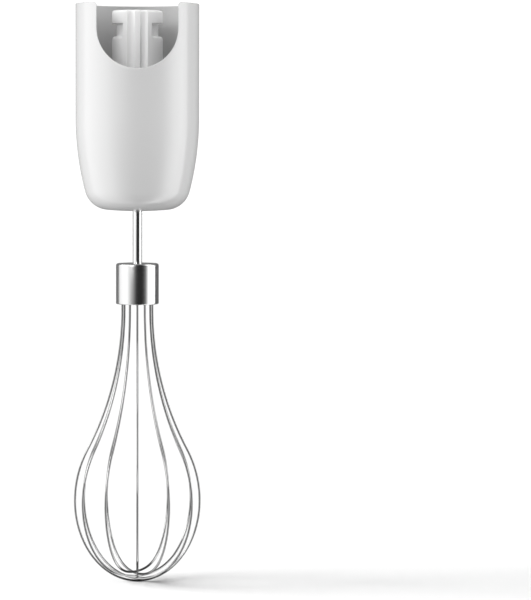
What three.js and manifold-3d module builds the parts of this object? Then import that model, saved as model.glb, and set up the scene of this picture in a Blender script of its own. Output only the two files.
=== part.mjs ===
// Whisk attachment for a hand blender: a coupling housing with a planetary reduction gear
// inside, and a pull-out balloon whisk on a steel shaft.
// Millimetres, +Z up. The origin is the lowest point of the whisk, on the axis. The notch in
// the socket wall faces -Y.
import * as THREE from 'three';
import { mergeVertices } from 'three/addons/utils/BufferGeometryUtils.js';
import Module from 'manifold-3d';

const wasm = await Module();
wasm.setup();

// ---------------------------------------------------------------- driving dimensions

// Balloon whisk
const wireDiameter = 1.0;
const loopCount = 6;
const balloonRadius = 26.95;       // axis to wire centre at the widest place
const balloonEquator = 35.3;       // height of the widest place
const shoulderRadius = 48;         // arc above the widest place
const neckHeight = 118.3;          // where the flare ends and the straight legs begin
const crossingSharpness = 5;       // how closely the crossing wires keep to the lowest one
const crossingGap = 0.04;
const bareLegLength = 2.35;        // straight wire below the ferrule
const wireInsertion = 9.85;        // straight wire inside the ferrule

// Ferrule and the hub inside it
const ferruleRadius = 9.2;
const ferruleHeight = 17.55;
const ferruleWall = 0.9;
const ferruleCrown = 1.5;
const ferruleEdge = 0.9;
const hubRecess = 0.9;             // hub face above the ferrule's mouth
const wireInset = 1.7;             // hub edge to wire centre

// Whisk shaft
const shaftRadius = 2.0;
const bareShaftLength = 22.5;      // between ferrule and housing
const flatLength = 14;             // two driving flats at its top
const flatDepth = 0.4;
const shaftGrooveDepth = 0.4;
const shaftHolePlay = 0.5;         // round the shaft in the housing's bottom

// Housing
const housingRadius = 26.5;
const housingHeight = 88.8;
const housingWall = 2.2;
const flankRadius = 124.5;         // gentle taper of the lower half
const flankHeight = 39.9;          // where the taper begins, above the bottom
const cornerRadius = 10.5;
const domeRadius = 150;            // slightly domed bottom
const rimEdge = 0.5;
const notchHalfWidth = 17.25;
const notchCentreDrop = 10.8;      // rim to the centre of the notch's round bottom
const notchEdge = 1.2;
const ledgeHeight = 28.3;          // gearbox ledge above the bottom
const ledgeWidth = 1.6;
const ledgeThickness = 2.5;

// Coupling tower and its deck
const deckThickness = 3.6;
const towerRadius = 10.85;
const towerDrop = 2.9;             // rim to the tower's top
const towerEdge = 1.0;
const towerBoreFloor = 6.0;        // bore floor above the deck
const latchDrop = 5.6;             // tower top to the latch groove
const latchHeight = 5.5;
const latchCore = 8.9;
const latchPanel = 6.2;            // half width of the uncut front and back panels
const fluteOffset = 3.0;
const fluteHalfWidth = 1.7;
const fluteDepth = 1.0;
const fluteLift = 2.0;             // flute ends above the deck

// Gear train: sun driven, ring fixed, carrier drives the whisk
const ringWall = 4.69;             // rim outside the ring gear's teeth, with room for screws
const sunTeeth = 12;
const planetTeeth = 18;
const planetCount = 3;
const gearFace = 10;
const pressureAngle = 25 * Math.PI / 180;
const addendum = 0.8;              // in modules
const dedendum = 1.0;              // in modules
const backlash = 0.12;             // taken off each tooth's width
const planetPinRadius = 1.5;
const carrierPlay = 1.0;           // carrier to the ring gear's teeth
const plateThickness = 3.0;
const capThickness = 2.0;
const washerThickness = 1.0;
const washerWidth = 4.5;
const spindleRadius = 4.6;
const spindleWeb = 3.4;            // between the shaft's bore and the input pilot
const pilotDepth = 2.4;
const bushWall = 2.9;
const bushFlange = 2.0;            // width and thickness of the output bush's flange
const bushFlangeThickness = 1.0;
const caseTubeWall = 2.2;

// Input side
const inputShaftRadius = 2.0;
const inputShaftTop = 18;          // above the deck
const inputBushRadius = 4.4;
const couplerRadius = 6.5;
const couplerPlay = 0.5;           // round the coupler in the tower
const couplerHubRadius = 5.5;
const couplerHubLength = 12;
const couplerLength = 26.5;
const driveFlats = 8;              // across the flats of the hexagonal drive socket
const driveDepth = 13.5;
const couplerPinRadius = 0.75;

// Small parts
const sealRadius = 6.0;
const sealHeight = 3.2;
const lipDepth = 0.8;              // how far the seal's lip stands inward
const bossWall = 1.4;
const screwRadius = 1.0;
const screwHeadRadius = 1.9;
const screwHeadHeight = 1.6;
const screwCount = 3;
const screwEngagement = 2.4;       // thread length in the gear case
const screwRecess = 0.9;           // radius and depth of the hexagonal recess
const clipThickness = 0.8;
const clipWidth = 0.75;
const clipGap = 1.6;
const circlipWidth = 1.6;
const retainerWidth = 2.0;
const retainerThickness = 0.9;
const retainerGap = 9;             // opening of the spring ring, at the back
const deckSealWidth = 1.1;

// Clearances
const fit = 0.1;                   // between pieces that are pressed or screwed together
const running = 0.08;              // radial play where one piece turns or slides in another
const axialGap = 0.2;              // end float between stacked pieces
const slack = 0.3;                 // round screws and in clip grooves

// Facets
const housingSides = 32;
const ferruleSides = 28;
const towerSides = 30;
const gearboxSides = 24;
const smallSides = 12;
const wireSides = 6;
const loopSteps = 36;

// ---------------------------------------------------------------- derived levels and sizes

const wireRadius = wireDiameter / 2;
const ferruleBottom = neckHeight + bareLegLength;
const ferruleTop = ferruleBottom + ferruleHeight;
const hubBottom = ferruleBottom + hubRecess;
const wireTop = ferruleBottom + wireInsertion;
const hubTop = wireTop + fit;
const housingBottom = ferruleTop + bareShaftLength;
const rimTop = housingBottom + housingHeight;
const hubRadius = insideFacets(ferruleRadius - ferruleWall, ferruleSides);
const neckRadius = hubRadius - wireInset;

const socketRadius = housingRadius - housingWall;
const ledgeTop = housingBottom + ledgeHeight;
const towerTop = rimTop - towerDrop;
const towerBore = couplerRadius + couplerPlay;
const latchTop = towerTop - latchDrop;
const latchBottom = latchTop - latchHeight;

// The gearbox fills the bore above its ledge, which the tapering flank narrows a little.
const flankInset = flankRadius - Math.sqrt(flankRadius ** 2 - (flankHeight - ledgeHeight) ** 2);
const gearboxBore = socketRadius - flankInset - fit;
const gearboxRadius = insideFacets(gearboxBore, housingSides);
const ringTeeth = sunTeeth + 2 * planetTeeth;
const gearModule = (gearboxRadius - ringWall) / (ringTeeth / 2 + dedendum);
const pitchRadius = (teeth) => gearModule * teeth / 2;
const orbitRadius = pitchRadius(sunTeeth) + pitchRadius(planetTeeth);
const ringRoot = pitchRadius(ringTeeth) + dedendum * gearModule;
const ringTip = pitchRadius(ringTeeth) - addendum * gearModule;

// The gearbox stack rises from the ledge to the deck.
const caseFloor = ledgeTop;
const washerBottom = caseFloor + axialGap;
const plateBottom = washerBottom + washerThickness + axialGap;
const plateTop = plateBottom + plateThickness;
const gearBottom = plateTop + 2 * axialGap;
const gearTop = gearBottom + gearFace;
const capBottom = gearTop + 2 * axialGap;
const capTop = capBottom + capThickness;
const deckBottom = capTop + axialGap;
const deckTop = deckBottom + deckThickness;
const ringTop = deckBottom - slack;
const caseTop = gearBottom - 2 * axialGap - fit;
const ringBottom = caseTop + slack;
const carrierRadius = ringTip - carrierPlay;
const caseRecess = carrierRadius + 2 * carrierPlay;
const floorTop = housingBottom + housingWall + fit;
const sealTop = floorTop + axialGap + sealHeight;
const bossTop = sealTop + axialGap;
const bushFlangeTop = bossTop + slack + axialGap + bushFlangeThickness;
const spindleBottom = bushFlangeTop - bushFlangeThickness / 2;
const pilotBottom = plateTop - pilotDepth;
const shaftBoreTop = pilotBottom - spindleWeb;
const shaftTop = shaftBoreTop - 3 * axialGap;
const bushBore = boreRadius(spindleRadius, gearboxSides);
const bushRadius = spindleRadius + bushWall;
const screwOrbit = (ringRoot + gearboxRadius) / 2;
const screwBottom = caseTop - screwEngagement;

// ---------------------------------------------------------------- helpers

// A faceted bore's flats stand inside its radius, so it is widened until a turning pin clears.
function boreRadius(pinRadius, sides) {
  return (pinRadius + running) / Math.cos(Math.PI / sides);
}

// Largest circle that stays clear inside a faceted bore.
function insideFacets(radius, sides) {
  return (radius - fit) * Math.cos(Math.PI / sides);
}

// Smallest faceted bore that stays clear round a pressed-in piece.
function aroundPiece(radius, sides) {
  return (radius + fit) / Math.cos(Math.PI / sides);
}

function signedVolume(position, index) {
  const [a, b, c] = [new THREE.Vector3(), new THREE.Vector3(), new THREE.Vector3()];
  let volume = 0;
  for (let i = 0; i < index.length; i += 3) {
    a.fromBufferAttribute(position, index[i]);
    b.fromBufferAttribute(position, index[i + 1]);
    c.fromBufferAttribute(position, index[i + 2]);
    volume += a.dot(b.cross(c)) / 6;
  }
  return volume;
}

// Closed three.js geometry to a solid that can be joined and cut.
function solid(geometry) {
  const bare = geometry.clone();
  bare.deleteAttribute('normal');
  bare.deleteAttribute('uv');
  const merged = mergeVertices(bare);
  const index = [];
  const source = merged.index.array;
  for (let i = 0; i < source.length; i += 3) {
    const [a, b, c] = [source[i], source[i + 1], source[i + 2]];
    if (a !== b && b !== c && c !== a) index.push(a, b, c);
  }
  if (signedVolume(merged.attributes.position, index) < 0) index.reverse();
  return new wasm.Manifold(new wasm.Mesh({
    numProp: 3,
    vertProperties: new Float32Array(merged.attributes.position.array),
    triVerts: new Uint32Array(index),
  }));
}

function geometryOf(body) {
  const mesh = body.getMesh();
  const geometry = new THREE.BufferGeometry();
  geometry.setAttribute('position', new THREE.BufferAttribute(mesh.vertProperties, 3));
  geometry.setIndex(new THREE.BufferAttribute(mesh.triVerts, 1));
  geometry.computeVertexNormals();
  return geometry;
}

// Closed [radius, height] outline turned round the Z axis.
function revolve(outline, sides) {
  const points = [...outline, outline[0]].map(([r, z]) => new THREE.Vector2(r, z));
  return solid(new THREE.LatheGeometry(points, sides).rotateX(Math.PI / 2));
}

// Closed outline raised from bottom to top, with holes through it.
function raise(outline, bottom, top, holes = []) {
  const shape = new THREE.Shape(outline);
  shape.holes = holes.map((hole) => new THREE.Path(hole));
  const options = { depth: top - bottom, bevelEnabled: false };
  return solid(new THREE.ExtrudeGeometry(shape, options).translate(0, 0, bottom));
}

function circle(radius, sides, x = 0, y = 0, phase = 0) {
  return Array.from({ length: sides }, (_, i) => {
    const angle = phase + 2 * Math.PI * i / sides;
    return new THREE.Vector2(x + radius * Math.cos(angle), y + radius * Math.sin(angle));
  });
}

function rod(radius, bottom, top, sides = smallSides, x = 0, y = 0) {
  return raise(circle(radius, sides, x, y), bottom, top);
}

function tube(outer, inner, bottom, top, sides = gearboxSides) {
  return raise(circle(outer, sides), bottom, top, [circle(inner, sides)]);
}

function block(width, depth, bottom, top, x = 0, y = 0) {
  const box = new THREE.BoxGeometry(width, depth, top - bottom);
  return solid(box.translate(x, y, (top + bottom) / 2));
}

// Points of an arc in an outline, both ends included.
function arc(centre, radius, from, to, steps) {
  return Array.from({ length: steps + 1 }, (_, i) => {
    const angle = from + (to - from) * i / steps;
    return [centre[0] + radius * Math.cos(angle), centre[1] + radius * Math.sin(angle)];
  });
}

// Open ring, such as a circlip, with its gap centred on the angle given.
function openRing(outer, inner, bottom, top, gapWidth, gapAngle, steps) {
  const half = gapWidth / (outer + inner);
  const start = gapAngle + half;
  const end = gapAngle + 2 * Math.PI - half;
  const outline = [...arc([0, 0], outer, start, end, steps), ...arc([0, 0], inner, end, start, steps)];
  return raise(outline.map(([x, y]) => new THREE.Vector2(x, y)), bottom, top);
}

function onCircle(radius, angle) {
  return [radius * Math.cos(angle), radius * Math.sin(angle)];
}

function ringOfCircles(angles, orbit, radius) {
  return angles.map((angle) => circle(radius, smallSides, ...onCircle(orbit, angle)));
}

const planetAngles = Array.from({ length: planetCount },
  (_, i) => Math.PI / 2 + 2 * Math.PI * i / planetCount);
const screwAngles = Array.from({ length: screwCount },
  (_, i) => Math.PI / 6 + 2 * Math.PI * i / screwCount);

// ---------------------------------------------------------------- materials

const finish = (color, roughness, metalness = 0) => ({ color, roughness, metalness });
const finishes = {
  whiteShell: finish(0xeeeeee, 0.3),
  whiteInner: finish(0xe2e2e2, 0.4),
  steel: finish(0xc4c6c8, 0.2, 1),
  brushedSteel: finish(0xb4b6b8, 0.35, 1),
  bronze: finish(0xa9824c, 0.5, 1),
  naturalNylon: finish(0xe6e0cf, 0.5),
  darkNylon: finish(0x3a3b3d, 0.5),
  rubber: finish(0x2a2a2b, 0.8),
};

function piece(name, body, look) {
  const material = new THREE.MeshStandardMaterial(finishes[look]);
  const mesh = new THREE.Mesh(geometryOf(body), material);
  mesh.name = name;
  return mesh;
}

// ---------------------------------------------------------------- housing

// Where two circles meet, on the side away from the axis.
function outerMeeting(a, radiusA, b, radiusB) {
  const [dx, dz] = [b[0] - a[0], b[1] - a[1]];
  const distance = Math.hypot(dx, dz);
  const along = (distance ** 2 + radiusA ** 2 - radiusB ** 2) / (2 * distance);
  const across = Math.sqrt(radiusA ** 2 - along ** 2);
  return [a[0] + (dx * along + dz * across) / distance, a[1] + (dz * along - dx * across) / distance];
}

// The wall is three arcs that run into each other: dome, corner and flank.
const flankCentre = [housingRadius - flankRadius, housingBottom + flankHeight];
const domeCentre = [0, housingBottom + domeRadius];
const cornerCentre = outerMeeting(
  flankCentre, flankRadius - cornerRadius, domeCentre, domeRadius - cornerRadius);
const flankAngle = Math.atan2(cornerCentre[1] - flankCentre[1], cornerCentre[0] - flankCentre[0]);
const domeAngle = Math.atan2(cornerCentre[1] - domeCentre[1], cornerCentre[0] - domeCentre[0]);

// From a radius near the axis out and up to a height on the flank, inset by a wall.
function wallOutline(inset, innerRadius, topHeight) {
  const dome = domeRadius - inset;
  const flank = flankRadius - inset;
  const start = -Math.acos(innerRadius / dome);
  const end = Math.asin((topHeight - flankCentre[1]) / flank);
  return [
    ...arc(domeCentre, dome, start, domeAngle, 1),
    ...arc(cornerCentre, cornerRadius - inset, domeAngle, flankAngle, 4).slice(1),
    ...arc(flankCentre, flank, flankAngle, end, 3).slice(1),
  ];
}

const shaftHole = shaftRadius + shaftHolePlay;
const bossBore = sealRadius + axialGap;
const retainerBottom = deckTop + slack;
const retainerTop = retainerBottom + retainerThickness;
const retainerSeat = socketRadius + retainerWidth / 3;
const deckShoulder = deckBottom - axialGap;

function housingShell() {
  const ledgeBore = gearboxBore - ledgeWidth;
  const outside = wallOutline(0, shaftHole, flankCentre[1]);
  const inside = wallOutline(housingWall, bossBore + bossWall, ledgeTop - ledgeThickness);
  const outline = [
    ...outside,
    ...arc([housingRadius - rimEdge, rimTop - rimEdge], rimEdge, 0, Math.PI / 2, 1),
    ...arc([socketRadius + rimEdge, rimTop - rimEdge], rimEdge, Math.PI / 2, Math.PI, 1),
    [socketRadius, retainerTop + fit], [retainerSeat, retainerTop + fit],
    [retainerSeat, retainerBottom - fit], [socketRadius, retainerBottom - fit],
    [socketRadius, deckShoulder], [gearboxBore, deckShoulder],
    [gearboxBore, ledgeTop], [ledgeBore, ledgeTop], [ledgeBore, ledgeTop - ledgeThickness],
    ...inside.reverse(),
    [bossBore + bossWall, bossTop], [bossBore, bossTop], [bossBore, floorTop], [shaftHole, floorTop],
  ];
  return revolve(outline, housingSides).subtract(notchCutter());
}

// U-shaped notch through the front of the socket wall, with rounded upper corners.
function notchCutter() {
  const edge = notchHalfWidth + notchEdge;
  const edgeHeight = rimTop - notchEdge;
  const outline = [
    [-edge, rimTop + 1],
    ...arc([-edge, edgeHeight], notchEdge, Math.PI / 2, 0, 3),
    ...arc([0, rimTop - notchCentreDrop], notchHalfWidth, Math.PI, 2 * Math.PI, 16),
    ...arc([edge, edgeHeight], notchEdge, Math.PI, Math.PI / 2, 3),
    [edge, rimTop + 1],
  ];
  const shape = new THREE.Shape(outline.map(([x, z]) => new THREE.Vector2(x, z)));
  const options = { depth: housingRadius + 1, bevelEnabled: false };
  return solid(new THREE.ExtrudeGeometry(shape, options).rotateX(Math.PI / 2));
}

// ---------------------------------------------------------------- coupling tower

const flangeRadius = insideFacets(socketRadius, housingSides) - 2 * fit;
const sealGroove = flangeRadius - deckSealWidth + 2 * fit;
const sealGrooveBottom = deckBottom + deckThickness / 4;
const sealGrooveTop = deckTop - deckThickness / 4;
const boreFloor = deckTop + towerBoreFloor;

function couplingTower() {
  const bushSeat = aroundPiece(inputBushRadius, towerSides);
  const outline = [
    [bushSeat, deckBottom], [flangeRadius, deckBottom],
    [flangeRadius, sealGrooveBottom], [sealGroove, sealGrooveBottom],
    [sealGroove, sealGrooveTop], [flangeRadius, sealGrooveTop],
    [flangeRadius, deckTop], [towerRadius, deckTop],
    ...arc([towerRadius - towerEdge, towerTop - towerEdge], towerEdge, 0, Math.PI / 2, 3),
    [towerBore, towerTop], [towerBore, boreFloor], [bushSeat, boreFloor],
  ];
  let body = revolve(outline, towerSides).subtract(latchCutter());
  for (const side of [-1, 1]) {
    for (const face of [-1, 1]) body = body.subtract(fluteCutter(side, face));
  }
  for (const angle of screwAngles) {
    const [x, y] = onCircle(screwOrbit, angle);
    body = body.subtract(rod(screwRadius + fit, deckBottom - 1, deckTop + 1, smallSides, x, y));
    const seat = deckTop - screwHeadHeight - fit;
    body = body.subtract(rod(screwHeadRadius + slack, seat, deckTop + 1, smallSides, x, y));
  }
  return body;
}

// Ring-shaped groove for the latches, left whole across the front and back panels.
function latchCutter() {
  const outer = towerRadius + 1;
  const outline = [
    [latchCore, latchBottom], [towerRadius - towerEdge, latchBottom],
    [towerRadius, latchBottom - towerEdge], [outer, latchBottom - towerEdge],
    [outer, latchTop], [latchCore, latchTop],
  ];
  const panel = block(2 * latchPanel, 2 * outer + 1, latchBottom - 2 * towerEdge, latchTop + 1);
  return revolve(outline, towerSides).subtract(panel);
}

function fluteCutter(side, face) {
  const radius = (fluteHalfWidth ** 2 + fluteDepth ** 2) / (2 * fluteDepth);
  const surface = Math.sqrt(towerRadius ** 2 - fluteOffset ** 2);
  const y = face * (surface - fluteDepth + radius);
  return rod(radius, deckTop + fluteLift, towerTop + 1, smallSides, side * fluteOffset, y);
}

function deckSeal() {
  const outer = insideFacets(socketRadius, housingSides);
  const inner = aroundPiece(sealGroove, housingSides);
  return tube(outer, inner, sealGrooveBottom + fit, sealGrooveTop - fit, housingSides);
}

function retainingRing() {
  const outer = insideFacets(retainerSeat, housingSides);
  return openRing(outer, outer - retainerWidth, retainerBottom, retainerTop, retainerGap, Math.PI / 2, 40);
}

// ---------------------------------------------------------------- gears

// Half the angle that an involute tooth covers at a radius.
function halfToothAngle(teeth, radius, thinning) {
  const involute = (angle) => Math.tan(angle) - angle;
  const pitch = pitchRadius(teeth);
  const base = pitch * Math.cos(pressureAngle);
  const here = Math.acos(Math.min(1, base / radius));
  const atPitch = Math.PI / (2 * teeth) - thinning / (2 * pitch);
  return atPitch + involute(pressureAngle) - involute(here);
}

// Toothed outline with a tooth centred on the angle 0. Straight flanks join root and tip.
function toothedOutline(teeth, root, tip, thinning) {
  const outline = [];
  for (let tooth = 0; tooth < teeth; tooth += 1) {
    const centre = 2 * Math.PI * tooth / teeth;
    const corners = [
      [root, -halfToothAngle(teeth, root, thinning)], [tip, -halfToothAngle(teeth, tip, thinning)],
      [tip, halfToothAngle(teeth, tip, thinning)], [root, halfToothAngle(teeth, root, thinning)],
    ];
    for (const [radius, angle] of corners) {
      outline.push(new THREE.Vector2(...onCircle(radius, centre + angle)));
    }
  }
  return outline;
}

function spurGear(teeth, bore) {
  const pitch = pitchRadius(teeth);
  const outline = toothedOutline(
    teeth, pitch - dedendum * gearModule, pitch + addendum * gearModule, backlash);
  return raise(outline, gearBottom, gearTop, [circle(bore, smallSides)]);
}

// The spaces of an internal gear have the shape of an external gear's teeth.
function ringGear() {
  const spaces = toothedOutline(ringTeeth, ringTip, ringRoot, -backlash);
  const half = Math.PI / ringTeeth;
  const turned = spaces.map((point) => point.clone().rotateAround(new THREE.Vector2(), half));
  const holes = ringOfCircles(screwAngles, screwOrbit, screwRadius + fit);
  return raise(circle(gearboxRadius, housingSides), ringBottom, ringTop, [turned, ...holes]);
}

function gearCase() {
  const bushSeat = aroundPiece(bushRadius, housingSides);
  const tubeRadius = bushSeat + caseTubeWall;
  const tubeBottom = bushFlangeTop + fit;
  const flangeBottom = ledgeTop + fit;
  const lowerRadius = gearboxBore - ledgeWidth - slack;
  const underside = ledgeTop - ledgeThickness;
  const outline = [
    [bushSeat, tubeBottom], [tubeRadius, tubeBottom], [tubeRadius, underside],
    [lowerRadius, underside], [lowerRadius, flangeBottom], [gearboxRadius, flangeBottom],
    [gearboxRadius, caseTop], [caseRecess, caseTop], [caseRecess, caseFloor],
    [bushSeat, caseFloor],
  ];
  let body = revolve(outline, housingSides);
  for (const angle of screwAngles) {
    const [x, y] = onCircle(screwOrbit, angle);
    body = body.subtract(rod(screwRadius + fit, screwBottom - fit, caseTop + 1, smallSides, x, y));
  }
  return body;
}

function outputBush() {
  const flangeBottom = bushFlangeTop - bushFlangeThickness;
  const flangeRim = bushRadius + bushFlange;
  const outline = [
    [bushBore, flangeBottom], [flangeRim, flangeBottom], [flangeRim, bushFlangeTop],
    [bushRadius, bushFlangeTop], [bushRadius, caseFloor - axialGap], [bushBore, caseFloor - axialGap],
  ];
  return revolve(outline, gearboxSides);
}

function shaftSeal() {
  const bottom = floorTop + axialGap;
  const lip = boreRadius(shaftRadius, gearboxSides);
  const outline = [
    [lip + lipDepth, bottom], [sealRadius, bottom], [sealRadius, sealTop], [lip + lipDepth, sealTop],
    [lip, (bottom + sealTop) / 2],
  ];
  return revolve(outline, gearboxSides);
}

// ---------------------------------------------------------------- carrier

const snapRingBottom = spindleBottom + 2.4;
const snapRingTop = snapRingBottom + clipThickness;
const shaftBore = boreRadius(shaftRadius, gearboxSides);
const snapRingOuter = shaftBore + clipWidth;
const flatsBottom = shaftTop - flatLength;

function planetCarrier() {
  const outline = [
    [0, spindleBottom], [spindleRadius, spindleBottom], [spindleRadius, plateBottom],
    [carrierRadius, plateBottom], [carrierRadius, plateTop], [0, plateTop],
  ];
  const flats = 2 * (shaftRadius - flatDepth + running);
  const drivenBore = rod(shaftBore, spindleBottom - 1, shaftBoreTop, gearboxSides)
    .subtract(twinBlocks(flats, flatsBottom + axialGap, shaftBoreTop + 1));
  const groove = rod(snapRingOuter + fit, snapRingBottom - fit, snapRingTop + fit, gearboxSides);
  const pilot = rod(boreRadius(inputShaftRadius, smallSides), pilotBottom, plateTop + 1);
  let body = revolve(outline, gearboxSides).subtract(drivenBore).subtract(groove).subtract(pilot);
  for (const angle of planetAngles) {
    const [x, y] = onCircle(orbitRadius, angle);
    body = body.subtract(rod(planetPinRadius + fit, plateBottom - 1, plateTop + 1, smallSides, x, y));
  }
  return body;
}

// Everything in front of and behind two flats that face -Y and +Y.
function twinBlocks(acrossFlats, bottom, top) {
  const depth = 2 * shaftRadius;
  const offset = (acrossFlats + depth) / 2;
  const width = 3 * shaftRadius;
  return block(width, depth, bottom, top, 0, -offset).add(block(width, depth, bottom, top, 0, offset));
}

function carrierCap() {
  const holes = ringOfCircles(planetAngles, orbitRadius, planetPinRadius + fit);
  const sunPassage = pitchRadius(sunTeeth) + gearModule;
  holes.push(circle(sunPassage, gearboxSides));
  return raise(circle(carrierRadius, gearboxSides), capBottom, capTop, holes);
}

function thrustWasher() {
  const inner = spindleRadius + slack;
  return tube(inner + washerWidth, inner, washerBottom, washerBottom + washerThickness);
}

function snapRing() {
  return openRing(snapRingOuter, shaftBore + running, snapRingBottom, snapRingTop, clipGap, 0, 20);
}

// ---------------------------------------------------------------- input drive

const inputTop = deckTop + inputShaftTop;
const circlipBottom = boreFloor + axialGap;
const circlipTop = circlipBottom + clipThickness;
const circlipGroove = inputShaftRadius - shaftGrooveDepth;
const couplerBottom = circlipTop + 2 * axialGap;
const couplerTop = couplerBottom + couplerLength;
const couplerPinHeight = couplerBottom + couplerHubLength / 2;

// Round pin across the shaft, along X.
function crossRod(radius, halfLength, height) {
  const bar = new THREE.CylinderGeometry(radius, radius, 2 * halfLength, smallSides);
  return solid(bar.rotateZ(Math.PI / 2).translate(0, 0, height));
}

function inputShaft() {
  const bottom = pilotBottom + axialGap;
  const outline = [
    [0, bottom], [inputShaftRadius, bottom],
    [inputShaftRadius, circlipBottom - fit], [circlipGroove, circlipBottom - fit],
    [circlipGroove, circlipTop + fit], [inputShaftRadius, circlipTop + fit],
    [inputShaftRadius, inputTop], [0, inputTop],
  ];
  const pinHole = crossRod(couplerPinRadius + fit, 2 * inputShaftRadius, couplerPinHeight);
  return revolve(outline, smallSides).subtract(pinHole);
}

function driveCoupler() {
  const hubTopHeight = couplerBottom + couplerHubLength;
  const outline = [
    [0, couplerBottom], [couplerHubRadius, couplerBottom], [couplerHubRadius, hubTopHeight],
    [couplerRadius, hubTopHeight + 1], [couplerRadius, couplerTop], [0, couplerTop],
  ];
  const shaftBoreCut = rod(inputShaftRadius + fit, couplerBottom - 1, inputTop + axialGap);
  const hexagon = circle(driveFlats / Math.sqrt(3), 6);
  const socket = raise(hexagon, couplerTop - driveDepth, couplerTop + 1);
  const pinHole = crossRod(couplerPinRadius + fit, couplerRadius + 1, couplerPinHeight);
  return revolve(outline, gearboxSides).subtract(shaftBoreCut).subtract(socket).subtract(pinHole);
}

function inputBush() {
  const bore = boreRadius(inputShaftRadius, smallSides);
  return tube(inputBushRadius, bore, deckBottom, boreFloor - fit, smallSides);
}

function inputCirclip() {
  return openRing(inputShaftRadius + circlipWidth, circlipGroove + fit, circlipBottom, circlipTop, clipGap, 0, 16);
}

// ---------------------------------------------------------------- fasteners and pins

function gearboxScrew() {
  const headBottom = deckTop - screwHeadHeight;
  const outline = [
    [0, screwBottom], [screwRadius, screwBottom], [screwRadius, headBottom],
    [screwHeadRadius, headBottom], [screwHeadRadius, deckTop - slack],
    [screwHeadRadius - slack, deckTop], [0, deckTop],
  ];
  return revolve(outline, smallSides).subtract(rod(screwRecess, deckTop - screwRecess, deckTop + 1, 6));
}

function planetPin() {
  return rod(planetPinRadius, plateBottom + fit, capTop - fit);
}

// ---------------------------------------------------------------- whisk

function whiskShaft() {
  const grooveBottom = snapRingBottom - fit;
  const grooveTop = snapRingTop + fit;
  const grooveRadius = shaftRadius - shaftGrooveDepth;
  const chamfer = shaftGrooveDepth;
  const outline = [
    [0, hubBottom + fit], [shaftRadius, hubBottom + fit],
    [shaftRadius, grooveBottom], [grooveRadius, grooveBottom],
    [grooveRadius, grooveTop], [shaftRadius, grooveTop],
    [shaftRadius, shaftTop - chamfer], [shaftRadius - chamfer, shaftTop], [0, shaftTop],
  ];
  const flats = 2 * (shaftRadius - flatDepth);
  return revolve(outline, gearboxSides).subtract(twinBlocks(flats, flatsBottom, shaftTop + 1));
}

function ferrule() {
  const bore = ferruleRadius - ferruleWall;
  const hole = shaftRadius + fit;
  const lip = ferruleWall / 2;
  const outline = [
    [bore, ferruleBottom + lip],
    ...arc([bore + lip, ferruleBottom + lip], lip, Math.PI, 2 * Math.PI, 4).slice(1),
    ...arc([ferruleRadius - ferruleEdge, ferruleTop - ferruleEdge], ferruleEdge, 0, Math.PI / 2, 3),
    [hole, ferruleTop], [hole, ferruleTop - ferruleCrown], [bore, ferruleTop - ferruleCrown],
  ];
  return revolve(outline, ferruleSides);
}

function wireHub() {
  const holeCount = 2 * loopCount;
  const holeRadius = boreRadius(wireRadius, wireSides) + fit / 2;
  const holes = Array.from({ length: holeCount },
    (_, i) => circle(holeRadius, wireSides, ...onCircle(neckRadius, 2 * Math.PI * i / holeCount)));
  holes.push(circle(shaftRadius + fit, smallSides));
  return raise(circle(hubRadius, gearboxSides), hubBottom, hubTop, holes);
}

function hubCap() {
  return tube(hubRadius, shaftRadius + fit, hubTop + fit, ferruleTop - ferruleCrown - fit);
}

// Centre line of one wire loop in its own XZ plane. The flare and the shoulder are arcs that
// touch, and the lower half is an ellipse. Each loop crosses the pole above the one before it.
class LoopCurve extends THREE.Curve {
  constructor(level) {
    super();
    this.lift = level * (wireDiameter + crossingGap);
    const reach = shoulderRadius - (balloonRadius - neckRadius);
    const rise = neckHeight - balloonEquator;
    this.flareRadius = (reach ** 2 + rise ** 2 - shoulderRadius ** 2) / (2 * (shoulderRadius - reach));
    this.turn = Math.asin(rise / (shoulderRadius + this.flareRadius));
    this.depth = balloonEquator - wireRadius;
    this.stretches = [
      wireTop - neckHeight, this.flareRadius * this.turn, shoulderRadius * this.turn,
      (balloonRadius + this.depth) * Math.PI / 4,
    ];
    this.total = this.stretches.reduce((sum, length) => sum + length, 0);
  }

  // Radius and height at a share of the way from the top of a leg to the pole.
  halfProfile(share) {
    const [leg, flare, shoulder, lower] = this.stretches;
    let along = share * this.total;
    if (along < leg) return [neckRadius, wireTop - along];
    along -= leg;
    if (along < flare) {
      const angle = along / this.flareRadius;
      const outward = this.flareRadius * (1 - Math.cos(angle));
      return [neckRadius + outward, neckHeight - this.flareRadius * Math.sin(angle)];
    }
    along -= flare;
    if (along < shoulder) {
      const angle = this.turn - along / shoulderRadius;
      const inward = shoulderRadius * (1 - Math.cos(angle));
      return [balloonRadius - inward, balloonEquator + shoulderRadius * Math.sin(angle)];
    }
    const angle = Math.min(1, (along - shoulder) / lower) * Math.PI / 2;
    const lifted = this.lift * Math.sin(angle) ** crossingSharpness;
    return [balloonRadius * Math.cos(angle), balloonEquator - this.depth * Math.sin(angle) + lifted];
  }

  getPoint(t, target = new THREE.Vector3()) {
    const [radius, height] = this.halfProfile(1 - Math.abs(2 * t - 1));
    return target.set(t < 0.5 ? radius : -radius, 0, height);
  }
}

function wireLoop(level) {
  const path = new LoopCurve(level);
  path.arcLengthDivisions = 800;
  const section = new THREE.Shape(circle(wireRadius, wireSides, 0, 0, Math.PI / 2));
  const options = { steps: loopSteps, extrudePath: path, bevelEnabled: false };
  return solid(new THREE.ExtrudeGeometry(section, options));
}

// ---------------------------------------------------------------- assembly

function place(mesh, [x, y], turn = 0) {
  mesh.position.set(x, y, 0);
  mesh.rotation.z = turn;
  return mesh;
}

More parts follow.
